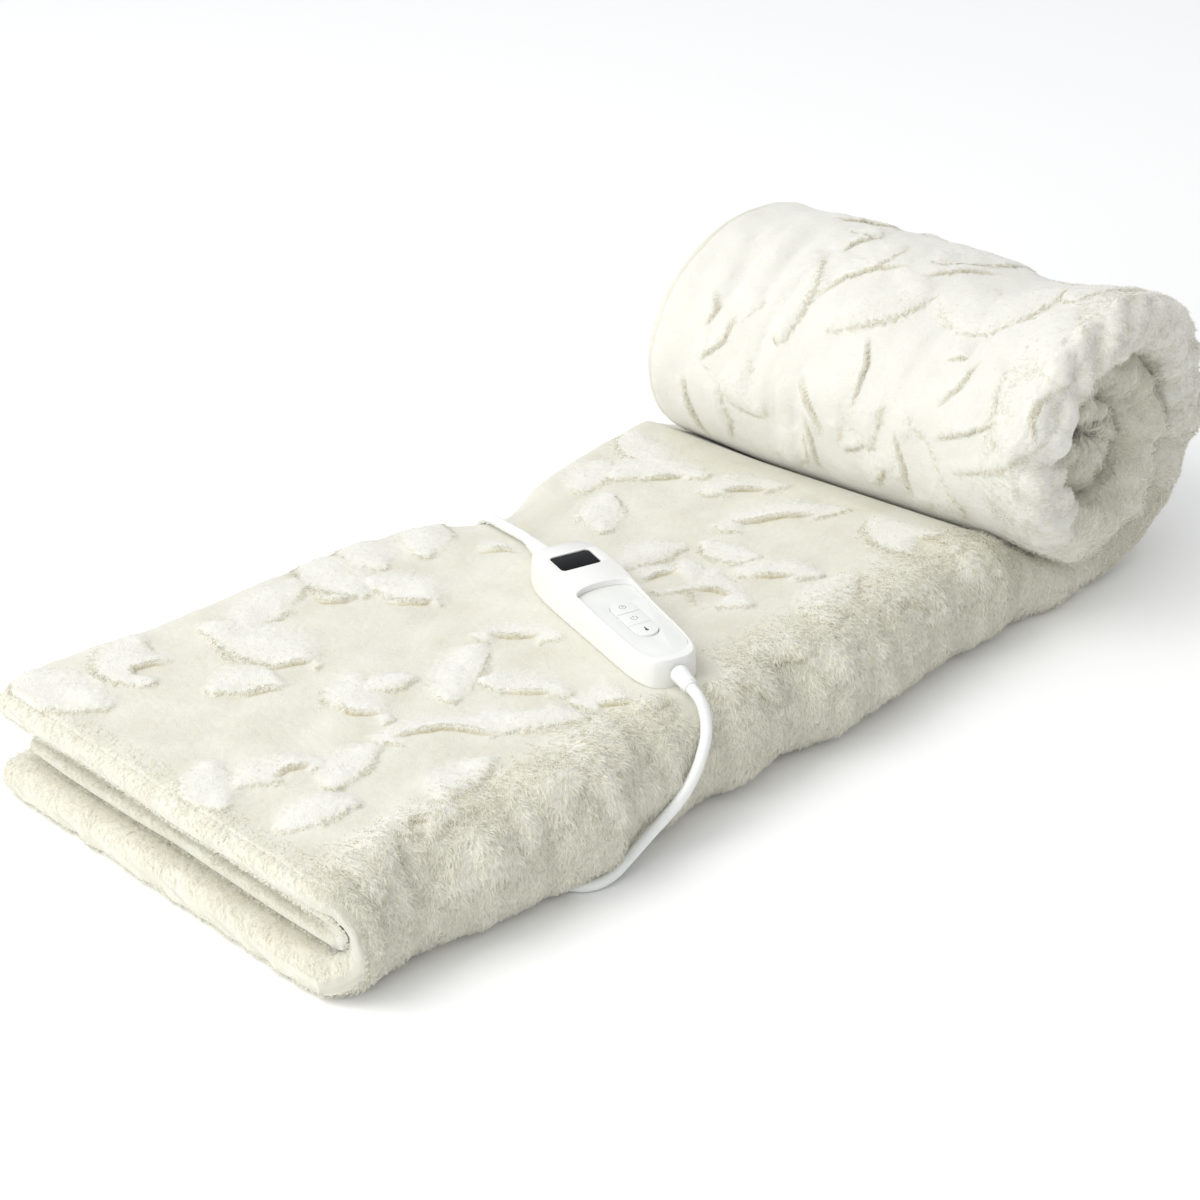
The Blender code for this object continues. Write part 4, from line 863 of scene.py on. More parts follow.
def from_line(along, girth, line, reach):
    """The points near a line: which, how far along it, how far off, the unit way out and if on its left."""
    low, high = line.min(0) - reach, line.max(0) + reach
    near = np.flatnonzero((along > low[0]) & (along < high[0]) & (girth > low[1]) & (girth < high[1]))
    here = np.stack([along.ravel()[near], girth.ravel()[near]], -1)[:, None, :]
    starts, runs = line[:-1], np.diff(line, axis=0)
    share = np.clip(((here - starts) * runs).sum(-1) / (runs**2).sum(-1), 0.0, 1.0)
    away = here - (starts + runs * share[..., None])
    distance = np.linalg.norm(away, axis=-1)
    best = distance.argmin(1)
    row = np.arange(len(best))
    distance = distance[row, best]
    way = away[row, best] / np.maximum(distance, 1e-6)[:, None]
    left = runs[best, 0] * way[:, 1] - runs[best, 1] * way[:, 0] > 0
    return near, (best + share[row, best]) / len(runs), distance, way, left


def petal_field(along, girth, shapes):
    """How far inside a petal points are, 1 on its middle line and 0 at its edge, and the way out of it."""
    inside = np.full(along.shape, -9.0)
    out = np.zeros(along.shape + (2,))
    for line, width in shapes:
        near, t, distance, way, _ = from_line(along, girth, line, width)
        half = width / 2.0 * np.maximum(np.sin(math.pi * (0.07 + 0.86 * t)), 0.05) ** 0.6
        found = 1.0 - distance / half
        better = found > inside.ravel()[near]
        inside.ravel()[near[better]] = found[better]
        out.reshape(-1, 2)[near[better]] = way[better]
    return inside, out


def crease_field(along, girth, lines):
    """How high the pile stands on a crease's left, how near are its bottom, painted dark as shade, and its
    lip, and how much it lowers what lies on its right."""
    totals = [np.zeros(along.shape) for _ in range(4)]
    for line in lines:
        near, t, distance, _, left = from_line(along, girth, line, 3.0 * CREASE_REACH)
        signed = np.where(left, distance, -distance)
        taper = np.sin(math.pi * np.clip(t, 0.0, 1.0)) ** 0.7
        ends = smoothstep(0.0, 0.2, t) * (1.0 - smoothstep(0.8, 1.0, t))
        found = (
            taper * smoothstep(-0.0006, 0.0026, signed) * bell(np.maximum(signed, 0.0), 0.0, CREASE_REACH),
            taper * bell(signed, -CREASE_WIDE / 2, CREASE_WIDE),
            taper * bell(signed, *CREASE_LIP),
            ends * np.where(signed < 0.0, 1.0 - smoothstep(*CREASE_CLEARS, -signed), 0.0),
        )
        for total, value in zip(totals, found):
            total.ravel()[near] = np.maximum(total.ravel()[near], value)
    return totals


def clear_of_handset(along, across, wide, cord):
    """0 under the handset and its leads, rising to 1 away from them."""
    dx, dy = along - CASE_START[0], across - CASE_START[1]
    down = dx * math.cos(CASE_HEADING) + dy * math.sin(CASE_HEADING)
    side = np.abs(dy * math.cos(CASE_HEADING) - dx * math.sin(CASE_HEADING))
    over = np.maximum(np.maximum(LEADS_SPAN[0] - down, down - LEADS_SPAN[1]), 0.0)
    half = np.where((down > CASE_SPAN[0]) & (down < CASE_SPAN[1]), wide, cord)
    return smoothstep(0.0, PRESSED_FADE, np.hypot(np.maximum(side - half, 0.0), over))


def pull_depth(degrees, across):
    """Depth of the roll's soft folds."""
    depth = np.zeros_like(across)
    scale = np.array((math.radians(1.0) * PULL_RADIUS, 1.0))
    for from_deg, from_across, to_deg, to_across, wide, deep in ROLL_PULLS:
        ends = np.array(((from_deg, from_across / 1000.0), (to_deg, to_across / 1000.0))) * scale
        here = np.stack([degrees * scale[0], across], -1) - ends[0]
        run = ends[1] - ends[0]
        share = np.clip((here * run).sum(-1) / (run**2).sum(), 0.0, 1.0)
        distance = np.linalg.norm(here - run * share[..., None], axis=-1)
        taper = np.sin(math.pi * np.clip(share, 0.04, 0.96))
        depth += PULL_DEPTH * deep / 1000.0 * taper * bell(distance, 0.0, wide / 1000.0)
    return depth


class Cloth:
    """The cloth's grid: points, normals, and where each lies on the flat cloth."""

    def __init__(self):
        self.rows = stations()
        sections = np.stack([section(*row) for row in self.rows])
        along, degrees, _ = (np.array(column)[:, None] for column in zip(*self.rows))
        across, up, layer, self.place = np.moveaxis(sections, -1, 0)
        along, degrees = along + 0 * across, degrees + 0 * across
        self.length = np.where(degrees > 0.0, ROLL_ALONG + rolled_length(degrees), along)
        self.degrees = degrees
        on_floor = degrees <= 0.0
        shape = on_path(along, degrees, across, up, layer)
        self.girth = self.girths(sections[..., :2], across, on_floor[:, :1])
        # The open end's lower hem is puckered by its stitching.
        pucker = np.abs(np.sin(math.pi * across / HEM_STITCH + 0.8 * np.sin(across * 40.0))) ** 0.7
        at_end = (1.0 - smoothstep(0.004, 0.034, along)) * smoothstep(3.4, 4.0, layer) * on_floor
        shape[..., 2] -= HEM_PUCKER_DOWN * (1.0 - pucker) * at_end * smoothstep(0.010, 0.022, up)
        shape[..., 0] -= HEM_PUCKER_OUT * pucker * at_end
        fluff = ripple(across, layer * 0.03, 0.016, 5) * (1.0 - smoothstep(0.0, 0.010, along)) * on_floor
        shape[..., 0] += HEM_FLUFF * fluff
        normal = outward(shape, True)
        soft = self.rippled(0.020, 2) * 0.0005 + self.rippled(0.055, 3) * 0.0012
        soft[:, FAR.stop :] = 0.0
        lumps = self.rippled(0.021, 7) * 0.0038
        self.free = self.open_air(along, degrees, on_floor)
        lift = soft * self.free
        lift[:, NEAR] += (lumps * smoothstep(30.0, 80.0, degrees))[:, NEAR]
        shown = (degrees > 150.0) & (degrees < 310.0)
        lift[:, UNDER] -= (pull_depth(degrees, across) * shown)[:, UNDER]
        self.points = shape + normal * lift[..., None]
        self.normal = outward(self.points, True)

    def rippled(self, size, seed):
        return ripple(self.length, self.girth, size, seed)

    def girths(self, outline, across, on_floor):
        """Distance round the cloth from the band's middle line, on its outer faces."""
        girth = across.copy()
        steps = np.linalg.norm(np.diff(outline, axis=1), axis=-1)
        from_under = np.cumsum(steps[:, NEAR.start - 1 : NEAR.stop - 1], axis=1)
        from_top = np.cumsum(steps[:, NEAR.start : NEAR.stop][:, ::-1], axis=1)[:, ::-1]
        near = across[:, NEAR.start - 1 : NEAR.start]
        girth[:, NEAR] = near - np.where(on_floor, from_top, from_under)
        far = across[:, FAR.start - 1 : FAR.start]
        girth[:, FAR] = far + np.cumsum(steps[:, FAR.start - 1 : FAR.stop - 1], axis=1)
        return girth

    def open_air(self, along, degrees, on_floor):
        """How far the cloth may rise: not under the handset, on the floor or between the turns."""
        crease = 1.0 - smoothstep(0.535, 0.570, along)
        band = clear_of_handset(along, self.girth, *CLOTH_PRESSED) * crease
        roll = smoothstep(40.0, 75.0, degrees) * (1.0 - smoothstep(288.0, 312.0, degrees))
        free = np.where(on_floor, band, roll)
        free[:, UNDER] *= ~on_floor[:, UNDER]
        share = np.arange(1, RUN_POINTS["near"] + 1) / (RUN_POINTS["near"] + 1)
        low = smoothstep(0.03, 0.25, (1.0 - np.cos(math.pi * share)) / 2.0)
        free[:, NEAR] = np.where(on_floor[:, NEAR], free[:, NEAR] * low, np.maximum(free[:, NEAR], 0.3))
        free[:, TOP.start :] = np.where(on_floor, free, 0.0)[:, TOP.start :]
        return free

    def mesh(self, name):
        rows, columns = self.points.shape[:2]
        index = np.arange(rows * columns).reshape(rows, columns)
        quads = np.stack([index[:-1], np.roll(index, -1, 1)[:-1], np.roll(index, -1, 1)[1:], index[1:]], -1)
        faces = quads.reshape(-1, 4)[:, ::-1].tolist()
        ends = cut_faces(self.place[0])
        faces += [[index[0][i] for i in face] for face in ends]
        faces += [[index[-1][i] for i in face[::-1]] for face in ends]
        obj = mesh_object(name, placed(self.points.reshape(-1, 3)), faces)
        paint(obj, {"rise": 0.0 * self.girth, "root": 0.0 * self.girth}, self.length, self.girth)
        return obj


def paint(obj, values, length, girth):
    """Stores the shader's values on the points, and the flat cloth in metres as the UV map."""
    for key, value in values.items():
        layer = obj.data.attributes.new(key, "FLOAT", "POINT")
        layer.data.foreach_set("value", value.astype(np.float32).ravel())
    uv = obj.data.uv_layers.new(name="cloth")
    corner = np.empty(len(obj.data.loops), np.int32)
    obj.data.loops.foreach_get("vertex_index", corner)
    flat = np.stack([length, girth], -1).reshape(-1, 2)
    uv.data.foreach_set("uv", flat[corner].astype(np.float32).ravel())


MADE = {}


def cloth():
    """The cloth's grid, worked out once."""
    if "grid" not in MADE:
        MADE["grid"] = Cloth()
    return MADE["grid"]


def between(values, at, axis):
    """Values of a grid at broken row or column numbers, on a smooth curve through them."""
    i = np.clip(at.astype(int), 0, values.shape[axis] - 2)
    t = at - i
    weights = (-t + 2 * t**2 - t**3, 2 - 5 * t**2 + 3 * t**3, t + 4 * t**2 - 3 * t**3, -(t**2) + t**3)
    shape = [1] * values.ndim
    shape[axis] = len(at)
    total = 0.0
    for step, weight in zip((-1, 0, 1, 2), weights):
        taken = np.take(values, np.clip(i + step, 0, values.shape[axis] - 1), axis)
        total = total + taken * (weight / 2.0).reshape(shape)
    return total


class Patch:
    """A finer stretch of the cloth's grid, with the relief of its pile."""

    rippled = Cloth.rippled

    def __init__(self, rows, columns, shapes=(), lines=(), height=0.0):
        grid = cloth()
        fields = (grid.points, grid.normal, grid.length, grid.girth, grid.degrees, grid.free)
        picked = [between(between(values, rows, 0), columns, 1) for values in fields]
        base, normal, self.length, self.girth, self.degrees, self.free = picked
        normal /= np.linalg.norm(normal, axis=-1, keepdims=True)
        self.free = np.clip(self.free, 0.0, 1.0)
        inside, out = petal_field(self.length, self.girth, shapes)
        inside = inside + (0.10 * self.rippled(0.0060, 21) + 0.07 * self.rippled(0.0034, 22))
        wander = 0.0007 * self.rippled(0.007, 23)
        crest, bottom, lip, lowered = crease_field(self.length + wander, self.girth - wander, lines)
        # The pile leans down its flow, so a petal ends there in an overhanging edge and fades out behind.
        flow = np.where(self.degrees[..., None] > 30.0, np.array(FLOW_ROLL), np.array(FLOW_BAND))
        down_flow = smoothstep(*FLOW_TURNS, (out * flow).sum(-1))
        t = np.clip(inside, 0.0, 1.0)
        steep, fading = (1.0 - (1.0 - t) ** 2) ** 0.7, smoothstep(*PETAL_FADES, inside)
        petal = down_flow * steep + (1.0 - down_flow) * fading
        petal *= (0.85 + 0.15 * self.rippled(0.028, 24)) * (1.0 - lowered)
        self.rise = np.clip(np.maximum(petal, crest), 0.0, 1.0) * self.free
        patchy = smoothstep(-0.1, 0.7, self.rippled(0.040, 25))
        # edge is painted shade at a petal's foot on its overhanging side; root adds it to the creases'
        # painted dark bottoms.
        edge = down_flow * bell(inside, *PETAL_FOOT_SHADE) * patchy * 0.25 * (1.0 - lowered)
        own_lip = down_flow * bell(inside, *PETAL_LIP) * (1.0 - lowered)
        self.lip = np.maximum(own_lip, lip) * self.free
        self.root = np.clip(np.maximum(edge, bottom), 0.0, 1.0) * self.free
        tufts = 1.0 - np.abs(ripple(self.length + 0.7 * self.girth, self.girth * 2.2, 0.011, 26))
        clumps = tufts * (0.00025 + 0.00025 * self.rise + 0.0009 * self.shaggy())
        lift = NAP_OVER + (self.rise * height + clumps) * self.free
        if height:
            lift -= self.dive() * (lift + 0.0015)
        self.points = base + normal * lift[..., None]
        self.normal = outward(self.points)

    def shaggy(self):
        """1 where the pile is longer and looser, over the near fold, and 0 on the faces."""
        return 1.0 - smoothstep(*SHAGGY_GIRTH, self.girth)

    def dive(self):
        """1 at the patch's rim, which goes under the cloth below it, and 0 inside."""
        rows, columns = self.girth.shape
        i, j = np.arange(rows)[:, None], np.arange(columns)[None, :]
        rim = np.minimum(np.minimum(i, rows - 1 - i), np.minimum(j, columns - 1 - j))
        return 1.0 - smoothstep(0.0, 3.0, rim)

    def mesh(self, name):
        rows, columns = self.points.shape[:2]
        index = np.arange(rows * columns).reshape(rows, columns)
        quads = np.stack([index[:-1, :-1], index[:-1, 1:], index[1:, 1:], index[1:, :-1]], -1)
        obj = mesh_object(name, placed(self.points.reshape(-1, 3)), quads.reshape(-1, 4)[:, ::-1].tolist())
        # The roll's pile is painted whiter than the band's: painted light, as the roll's front faces the
        # lamps.
        rise_and_painted_light = np.maximum(self.rise, ROLL_PAINTED_LIGHT * smoothstep(20.0, 60.0, self.degrees))
        paint(obj, {"rise": rise_and_painted_light, "root": self.root}, self.length, self.girth)
        return obj


# The long pile: strands as thin curved blades.


def strands(name, patch, weight, count, length, width, seed, lay):
    """Grows blades on a patch, more where weight is higher. They lie as lay points on the flat cloth."""
    rng = np.random.default_rng(seed)
    p, n = patch.points, patch.normal
    along = p[1:, :-1] - p[:-1, :-1]
    across = p[:-1, 1:] - p[:-1, :-1]
    area = np.linalg.norm(np.cross(along, across), axis=-1)
    chance = (area * weight[:-1, :-1]).ravel()
    picked = rng.choice(len(chance), size=count, p=chance / chance.sum())
    i, j = np.divmod(picked, area.shape[1])
    u, v = rng.random(count)[:, None], rng.random(count)[:, None]

    def blend(values):
        low = values[i, j] * (1 - u) * (1 - v) + values[i + 1, j] * u * (1 - v)
        return low + values[i, j + 1] * (1 - u) * v + values[i + 1, j + 1] * u * v

    root, normal = blend(p), blend(n)
    normal /= np.linalg.norm(normal, axis=1, keepdims=True)
    forward = p[i + 1, j] - p[i, j]
    forward -= normal * (forward * normal).sum(1, keepdims=True)
    forward /= np.maximum(np.linalg.norm(forward, axis=1, keepdims=True), 1e-9)
    # The grid's columns run against the girth on the outer face of layer 4, and with it on the top.
    sideways = np.cross(normal, forward)
    with_girth = (patch.girth[i, j + 1] > patch.girth[i, j])[:, None]
    with_columns = (sideways * (p[i, j + 1] - p[i, j])).sum(1, keepdims=True) > 0
    sideways *= np.where(with_columns == with_girth, 1.0, -1.0)
    length_at, girth_at = patch.length[i, j], patch.girth[i, j]
    swirl = np.stack([ripple(length_at, girth_at, LOCK_SIZE, seed + k) for k in (1, 2)], 1)
    flow = np.array(lay) + swirl * LOCK_SWIRL + rng.normal(0.0, LOCK_SPREAD, (count, 2))
    lean = forward * flow[:, :1] + sideways * flow[:, 1:]
    lean /= np.maximum(np.linalg.norm(lean, axis=1, keepdims=True), 1e-9)
    rise = patch.rise[i, j][:, None]
    long = length * rng.uniform(0.55, 1.15, (count, 1)) * (0.8 + 0.2 * rise)
    wide = width * rng.uniform(0.7, 1.2, (count, 1)) / 2.0
    side = np.cross(normal, lean) + normal * rng.normal(0.0, 0.2, (count, 1))
    side /= np.linalg.norm(side, axis=1, keepdims=True)
    stand = LOCK_UPRIGHT * rng.uniform(0.6, 1.3, (count, 1))
    base = root - normal * ROOTED
    middle = base + (normal * (stand + 0.16) + lean * 0.42) * long
    tip = base + (normal * (stand + 0.14) + lean * 0.92) * long + rng.normal(0.0, 0.0003, (count, 3))
    half, narrower = side * wide, side * wide * 0.8
    points = np.stack([base - half, base + half, middle + narrower, middle - narrower, tip], 1)
    points[..., 2] = np.maximum(points[..., 2], OFF_FLOOR)
    start = np.arange(count)[:, None] * points.shape[1]
    faces = (start + np.array((0, 1, 2, 3))).tolist() + (start + np.array((3, 2, 4))).tolist()
    obj = mesh_object(name, placed(points.reshape(-1, 3)), faces)
    tone = obj.data.attributes.new("tip", "FLOAT", "POINT")
    share = np.array((0.25, 0.25, 0.7, 0.7, 1.0)) + rng.uniform(-0.12, 0.08, (count, 1)) + 0.2 * rise - 0.05
    tone.data.foreach_set("value", np.clip(share, 0, 1).astype(np.float32).ravel())
    return obj


# The handset.


def case_half(along):
    return float(read_table(CASE_TABLE, 1, along))


def case_top(along):
    return float(read_table(CASE_TABLE, 2, along))


def panel_outline(shrink):
    """Sides along the case, a rounded near end and a far end that bows towards the head."""
    far = PANEL_FROM + PANEL_ARC + shrink
    near_half = case_half(PANEL_NEAR) - PANEL_RIM - shrink
    far_half = case_half(far) - PANEL_RIM - shrink
    outline = []
    for angle in np.linspace(0.0, math.pi / 2.0, 14):
        along = PANEL_NEAR + (PANEL_TO - shrink - PANEL_NEAR) * math.cos(angle)
        outline.append((along, near_half * math.sin(angle)))
    for along in (0.135, 0.115, 0.095):
        outline.append((along, case_half(along) - PANEL_RIM - shrink))
    for angle in np.linspace(math.pi / 2.0, 0.0, 16):
        outline.append((far - PANEL_ARC * math.cos(angle), far_half * math.sin(angle)))
    return outline + [(x, -y) for x, y in reversed(outline[1:-1])]


def plate(name, outline, low, high):
    """A straight-sided plate over an outline: its face is filled, then drawn up."""
    obj = mesh_object(name, [(x, y, low) for x, y in outline], [list(range(len(outline)))], smooth=False)
    with editing(obj):
        bpy.ops.mesh.extrude_region_move(TRANSFORM_OT_translate={"value": (0.0, 0.0, high - low)})
    return face_outwards(obj)


def pad_block(name, shrink, low, high):
    """The pill-shaped pad: a block with its ends fully rounded."""
    half = KEY_PAD_HALF - shrink
    start, end = KEY_PAD[0] + shrink, KEY_PAD[1] - shrink
    return block(name, (start, -half, low), (end, half, high), corner=half * 0.999, steps=12)


def cut(obj, cutter):
    apply_modifier(obj, "BOOLEAN", operation="DIFFERENCE", solver="EXACT", object=cutter)
    bpy.data.objects.remove(cutter)


def case_shell():
    """The case's skin, drawn over smooth sections from its far tip to its near end."""
    spans = ((0.0, 0.015, 9), (0.018, 0.150, 34), (0.1525, 0.171, 15))
    along = np.concatenate([np.linspace(*span) for span in spans])
    side = np.array(CASE_SIDES)
    t = np.linspace(0.0, len(side) - 1, 22)
    rows = np.column_stack((np.arange(len(side)), side))
    wide, high = smooth_table(rows, 1, t), smooth_table(rows, 2, t)
    points = []
    for x in along:
        half, top = float(smooth_table(CASE_TABLE, 1, x)), float(smooth_table(CASE_TABLE, 2, x))
        ring = [(x, half * w, top * h) for w, h in zip(wide, high)]
        points += ring + [(x, -y, z) for x, y, z in reversed(ring)]
    index = np.arange(len(points)).reshape(len(along), -1)
    following = np.roll(index, -1, 1)
    faces = np.stack([index[:-1], following[:-1], following[1:], index[1:]], -1).reshape(-1, 4).tolist()
    faces += [index[0].tolist(), index[-1].tolist()]
    return face_outwards(mesh_object("controller_case", points, faces))


def printed(name, points, faces):
    """A flat shape as thick as a print."""
    obj = mesh_object(name, points, faces, smooth=False)
    apply_modifier(obj, "SOLIDIFY", thickness=INK, offset=1.0)
    return obj


def ring_mark(name, middle, radius, line, height, gap_deg=0.0):
    """A printed ring, open at its far side by gap_deg."""
    steps = 40
    spare = math.radians(gap_deg) / 2.0
    points = []
    for angle in np.linspace(spare, 2 * math.pi - spare, steps):
        for r in (radius - line / 2, radius + line / 2):
            points.append((middle[0] - r * math.cos(angle), middle[1] + r * math.sin(angle), height))
    return printed(name, points, [(2 * k, 2 * k + 1, 2 * k + 3, 2 * k + 2) for k in range(steps - 1)])


def bar_mark(name, start, end, line, height):
    start, end = Vector((*start, height)), Vector((*end, height))
    run = (end - start).normalized()
    side = Vector((-run.y, run.x, 0.0)) * line / 2
    points = [tuple(p) for p in (start - side, end - side, end + side, start + side)]
    return printed(name, points, [(0, 1, 2, 3)])


def join(name, pieces):
    activate(pieces[0])
    for piece in pieces[1:]:
        piece.select_set(True)
    bpy.ops.object.join()
    pieces[0].name = pieces[0].data.name = name
    return pieces[0]


# Settings.


def colour_setting(name, about, value):
    return bpy.props.StringProperty(name=name, description=about + ", sRGB", default=value)


def length_setting(name, about, value, low, high):
    given = {"name": name, "description": about, "default": value, "min": low, "max": high}
    return bpy.props.FloatProperty(**given, subtype="DISTANCE")


def power_setting(name, about, value):
    return bpy.props.FloatProperty(name=name, description=about, default=value, unit="POWER")


class ClothSettings(bpy.types.PropertyGroup):
    ground_hex: colour_setting("Ground", "Sheared ground of the plush", "#D5D2C2")
    # A painted sheen: the paler colour of ground patches where the nap lies towards the light.
    ground_painted_sheen_hex: colour_setting("Brushed ground", "Where the nap lies towards the light", "#DEDCCF")
    pile_hex: colour_setting("Raised pile", "Tips of the raised pile", "#E8E7E0")
    tip_hex: colour_setting("Tips", "Tips of the longer pile", "#FBF9EE")
    # Painted shade where the pile parts, tinted tan.
    parting_shade_hex: colour_setting("Partings", "Where the pile parts", "#BDB493")
    long_pile: length_setting("Long pile", "Length of the raised pile", 0.0055, 0.001, 0.02)
    strand_width: length_setting("Lock", "Width of a lock of the long pile", 0.0007, 0.0001, 0.003)


class LeadSettings(bpy.types.PropertyGroup):
    diameter: length_setting("Diameter", "Outside of the leads", 2 * CORD_RADIUS, 0.003, 0.012)
    lead_hex: colour_setting("Leads", "Colour of the leads and plug", "#EDEFEC")


class HandsetSettings(bpy.types.PropertyGroup):
    case_hex: colour_setting("Case", "Colour of the case", "#EBEBE7")
    panel_hex: colour_setting("Panel", "Colour of the key panel", "#E6E7E3")
    mark_hex: colour_setting("Symbols", "Printed symbols on the keys", "#53544E")
    edge: length_setting("Edge", "Rounding of the moulded edges", 0.0005, 0.0001, 0.002)


class StageSettings(bpy.types.PropertyGroup):
    floor_hex: colour_setting("Floor", "Studio paper", "#FDFDFC")
    key_power: power_setting("Key light", "Power of the key light", 23.5)
    fill_power: power_setting("Fill light", "Power of the fill light", 21.0)
    sky: bpy.props.FloatProperty(name="Sky", description="Strength of the even light all round", default=0.82)


# Operators, in the order in which they run.


class STAGE_OT_build(bpy.types.Operator):
    """Sets the floor, the soft lights and the camera"""

    bl_idname = "heated_throw.stage"
    bl_label = "Stage"

    def execute(self, context):
        look = context.scene.throw_stage
        deselect()
        bpy.ops.mesh.primitive_plane_add(size=12.0, location=(0.0, 0.0, 0.0))
        floor = context.active_object
        floor.name = "studio_floor"
        floor.data.materials.append(studio_floor())
        world = bpy.data.worlds.new("studio sky")
        world.use_nodes = True
        tree = world.node_tree
        sky = tree.nodes["Background"]
        sky.inputs["Color"].default_value = linear("#FBFCFF")
        # The room is brighter behind and to the left of the throw than at its near side.
        out = add_node(tree, "TexCoord").outputs["Generated"]
        towards = add_node(tree, "VectorMath", {"Vector": out}, operation="DOT_PRODUCT")
        towards.inputs[1].default_value = (-0.50, 0.40, 0.77)
        spread = {"Value": towards.outputs["Value"], "From Min": -1.0}
        spread |= {"To Min": 0.35 * look.sky, "To Max": 1.25 * look.sky}
        strength = add_node(tree, "MapRange", spread)
        tree.links.new(strength.outputs["Result"], sky.inputs["Strength"])
        context.scene.world = world
        lights = (  # name, place, size, power, colour
            ("key", (-1.3, 0.5, 1.9), 1.5, look.key_power, "#FFFDF8"),
            ("fill", (-3.4, -0.3, 1.1), 1.6, look.fill_power, "#F6FAFF"),
        )
        for name, place, size, power, hexed in lights:
            light = bpy.data.lights.new(name, "AREA")
            light.size, light.energy, light.color = size, power, linear(hexed)[:3]
            lamp = bpy.data.objects.new(name, light)
            context.scene.collection.objects.link(lamp)
            lamp.location = place
            lamp.rotation_euler = (Vector(LIT) - lamp.location).to_track_quat("-Z", "Y").to_euler()
        lens = bpy.data.cameras.new("camera")
        lens.lens, lens.sensor_width = 84.0, 36.0
        lens.shift_x, lens.shift_y = -0.0192, 0.0185
        lens.clip_end = 30.0
        camera = bpy.data.objects.new("camera", lens)
        context.scene.collection.objects.link(camera)
        camera.location = Vector((-0.7586, -1.1199, 0.9542)) - MIDDLE
        camera.rotation_euler = Vector((0.61769, 0.60701, -0.5)).to_track_quat("-Z", "Y").to_euler()
        context.scene.camera = camera
        context.scene.view_settings.view_transform = "Standard"
        return {"FINISHED"}


class LEADS_OT_build(bpy.types.Operator):
    """Makes both leads and the sleeves on them, and gives the coil's tie and the plug their materials"""

    bl_idname = "heated_throw.leads"
    bl_label = "Leads and plug"

    def execute(self, context):
        look = context.scene.throw_leads
        pvc = moulded("soft moulded PVC", look.lead_hex, 0.42, 0.9, 0.02)
        near_start = CASE_START + case_way(CASE_TABLE[-1][0] + SLEEVE_GAP, RELIEF_NEAR_HEIGHT)
        near_aim = case_way(1.0, RELIEF_DIP).normalized()
        far_start = CASE_START + case_way(-CLEAR, RELIEF_FAR_HEIGHT)
        far_aim = case_way(-1.0, 0.0).normalized()
        near_sleeve = turned("near_sleeve", NEAR_PROFILE, near_start, near_aim)
        far_sleeve = turned("far_sleeve", FAR_PROFILE, far_start, far_aim)
        for sleeve, node in ((near_sleeve, "relief_near"), (far_sleeve, "relief_far")):
            ease_angles(sleeve, width=0.0003, segments=2, degrees=25)
            shade(sleeve, 40)
            finish_piece(sleeve, pvc, ROOT, node)
        short = smooth_route(mouth_points(near_start, near_aim, NEAR_PROFILE) + BLANKET_ROUTE)
        lead = tube("short_lead", short)
        finish_piece(lead, pvc, ROOT, "blanket_lead")

        arriving = smooth_route(mouth_points(far_start, far_aim, FAR_PROFILE) + MAINS_ROUTE)
        leaving = smooth_route(TAIL_ROUTE)
        whole = arriving + coil_points() + leaving
        mains = tube("mains_lead_wound", whole)
        finish_piece(mains, pvc, ROOT, "mains_lead", "mains_coil", "mains_tail")
        on_lead = ["plug_boot", "plug_body", "plug_pin_a", "plug_pin_b", "lead_tie"]
        for name, material in zip(on_lead, (pvc, pvc, plated_pins(), plated_pins(), woven_strap())):
            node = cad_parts[name]
            node.data.materials.clear()
            node.data.materials.append(material)
        return {"FINISHED"}


class CLOTH_OT_build(bpy.types.Operator):
    """Folds and rolls the cloth"""

    bl_idname = "heated_throw.cloth"
    bl_label = "Cloth"

    def execute(self, context):
        finish_piece(cloth().mesh("plush_throw"), plush("sheared polyester plush"), ROOT, "throw")
        return {"FINISHED"}


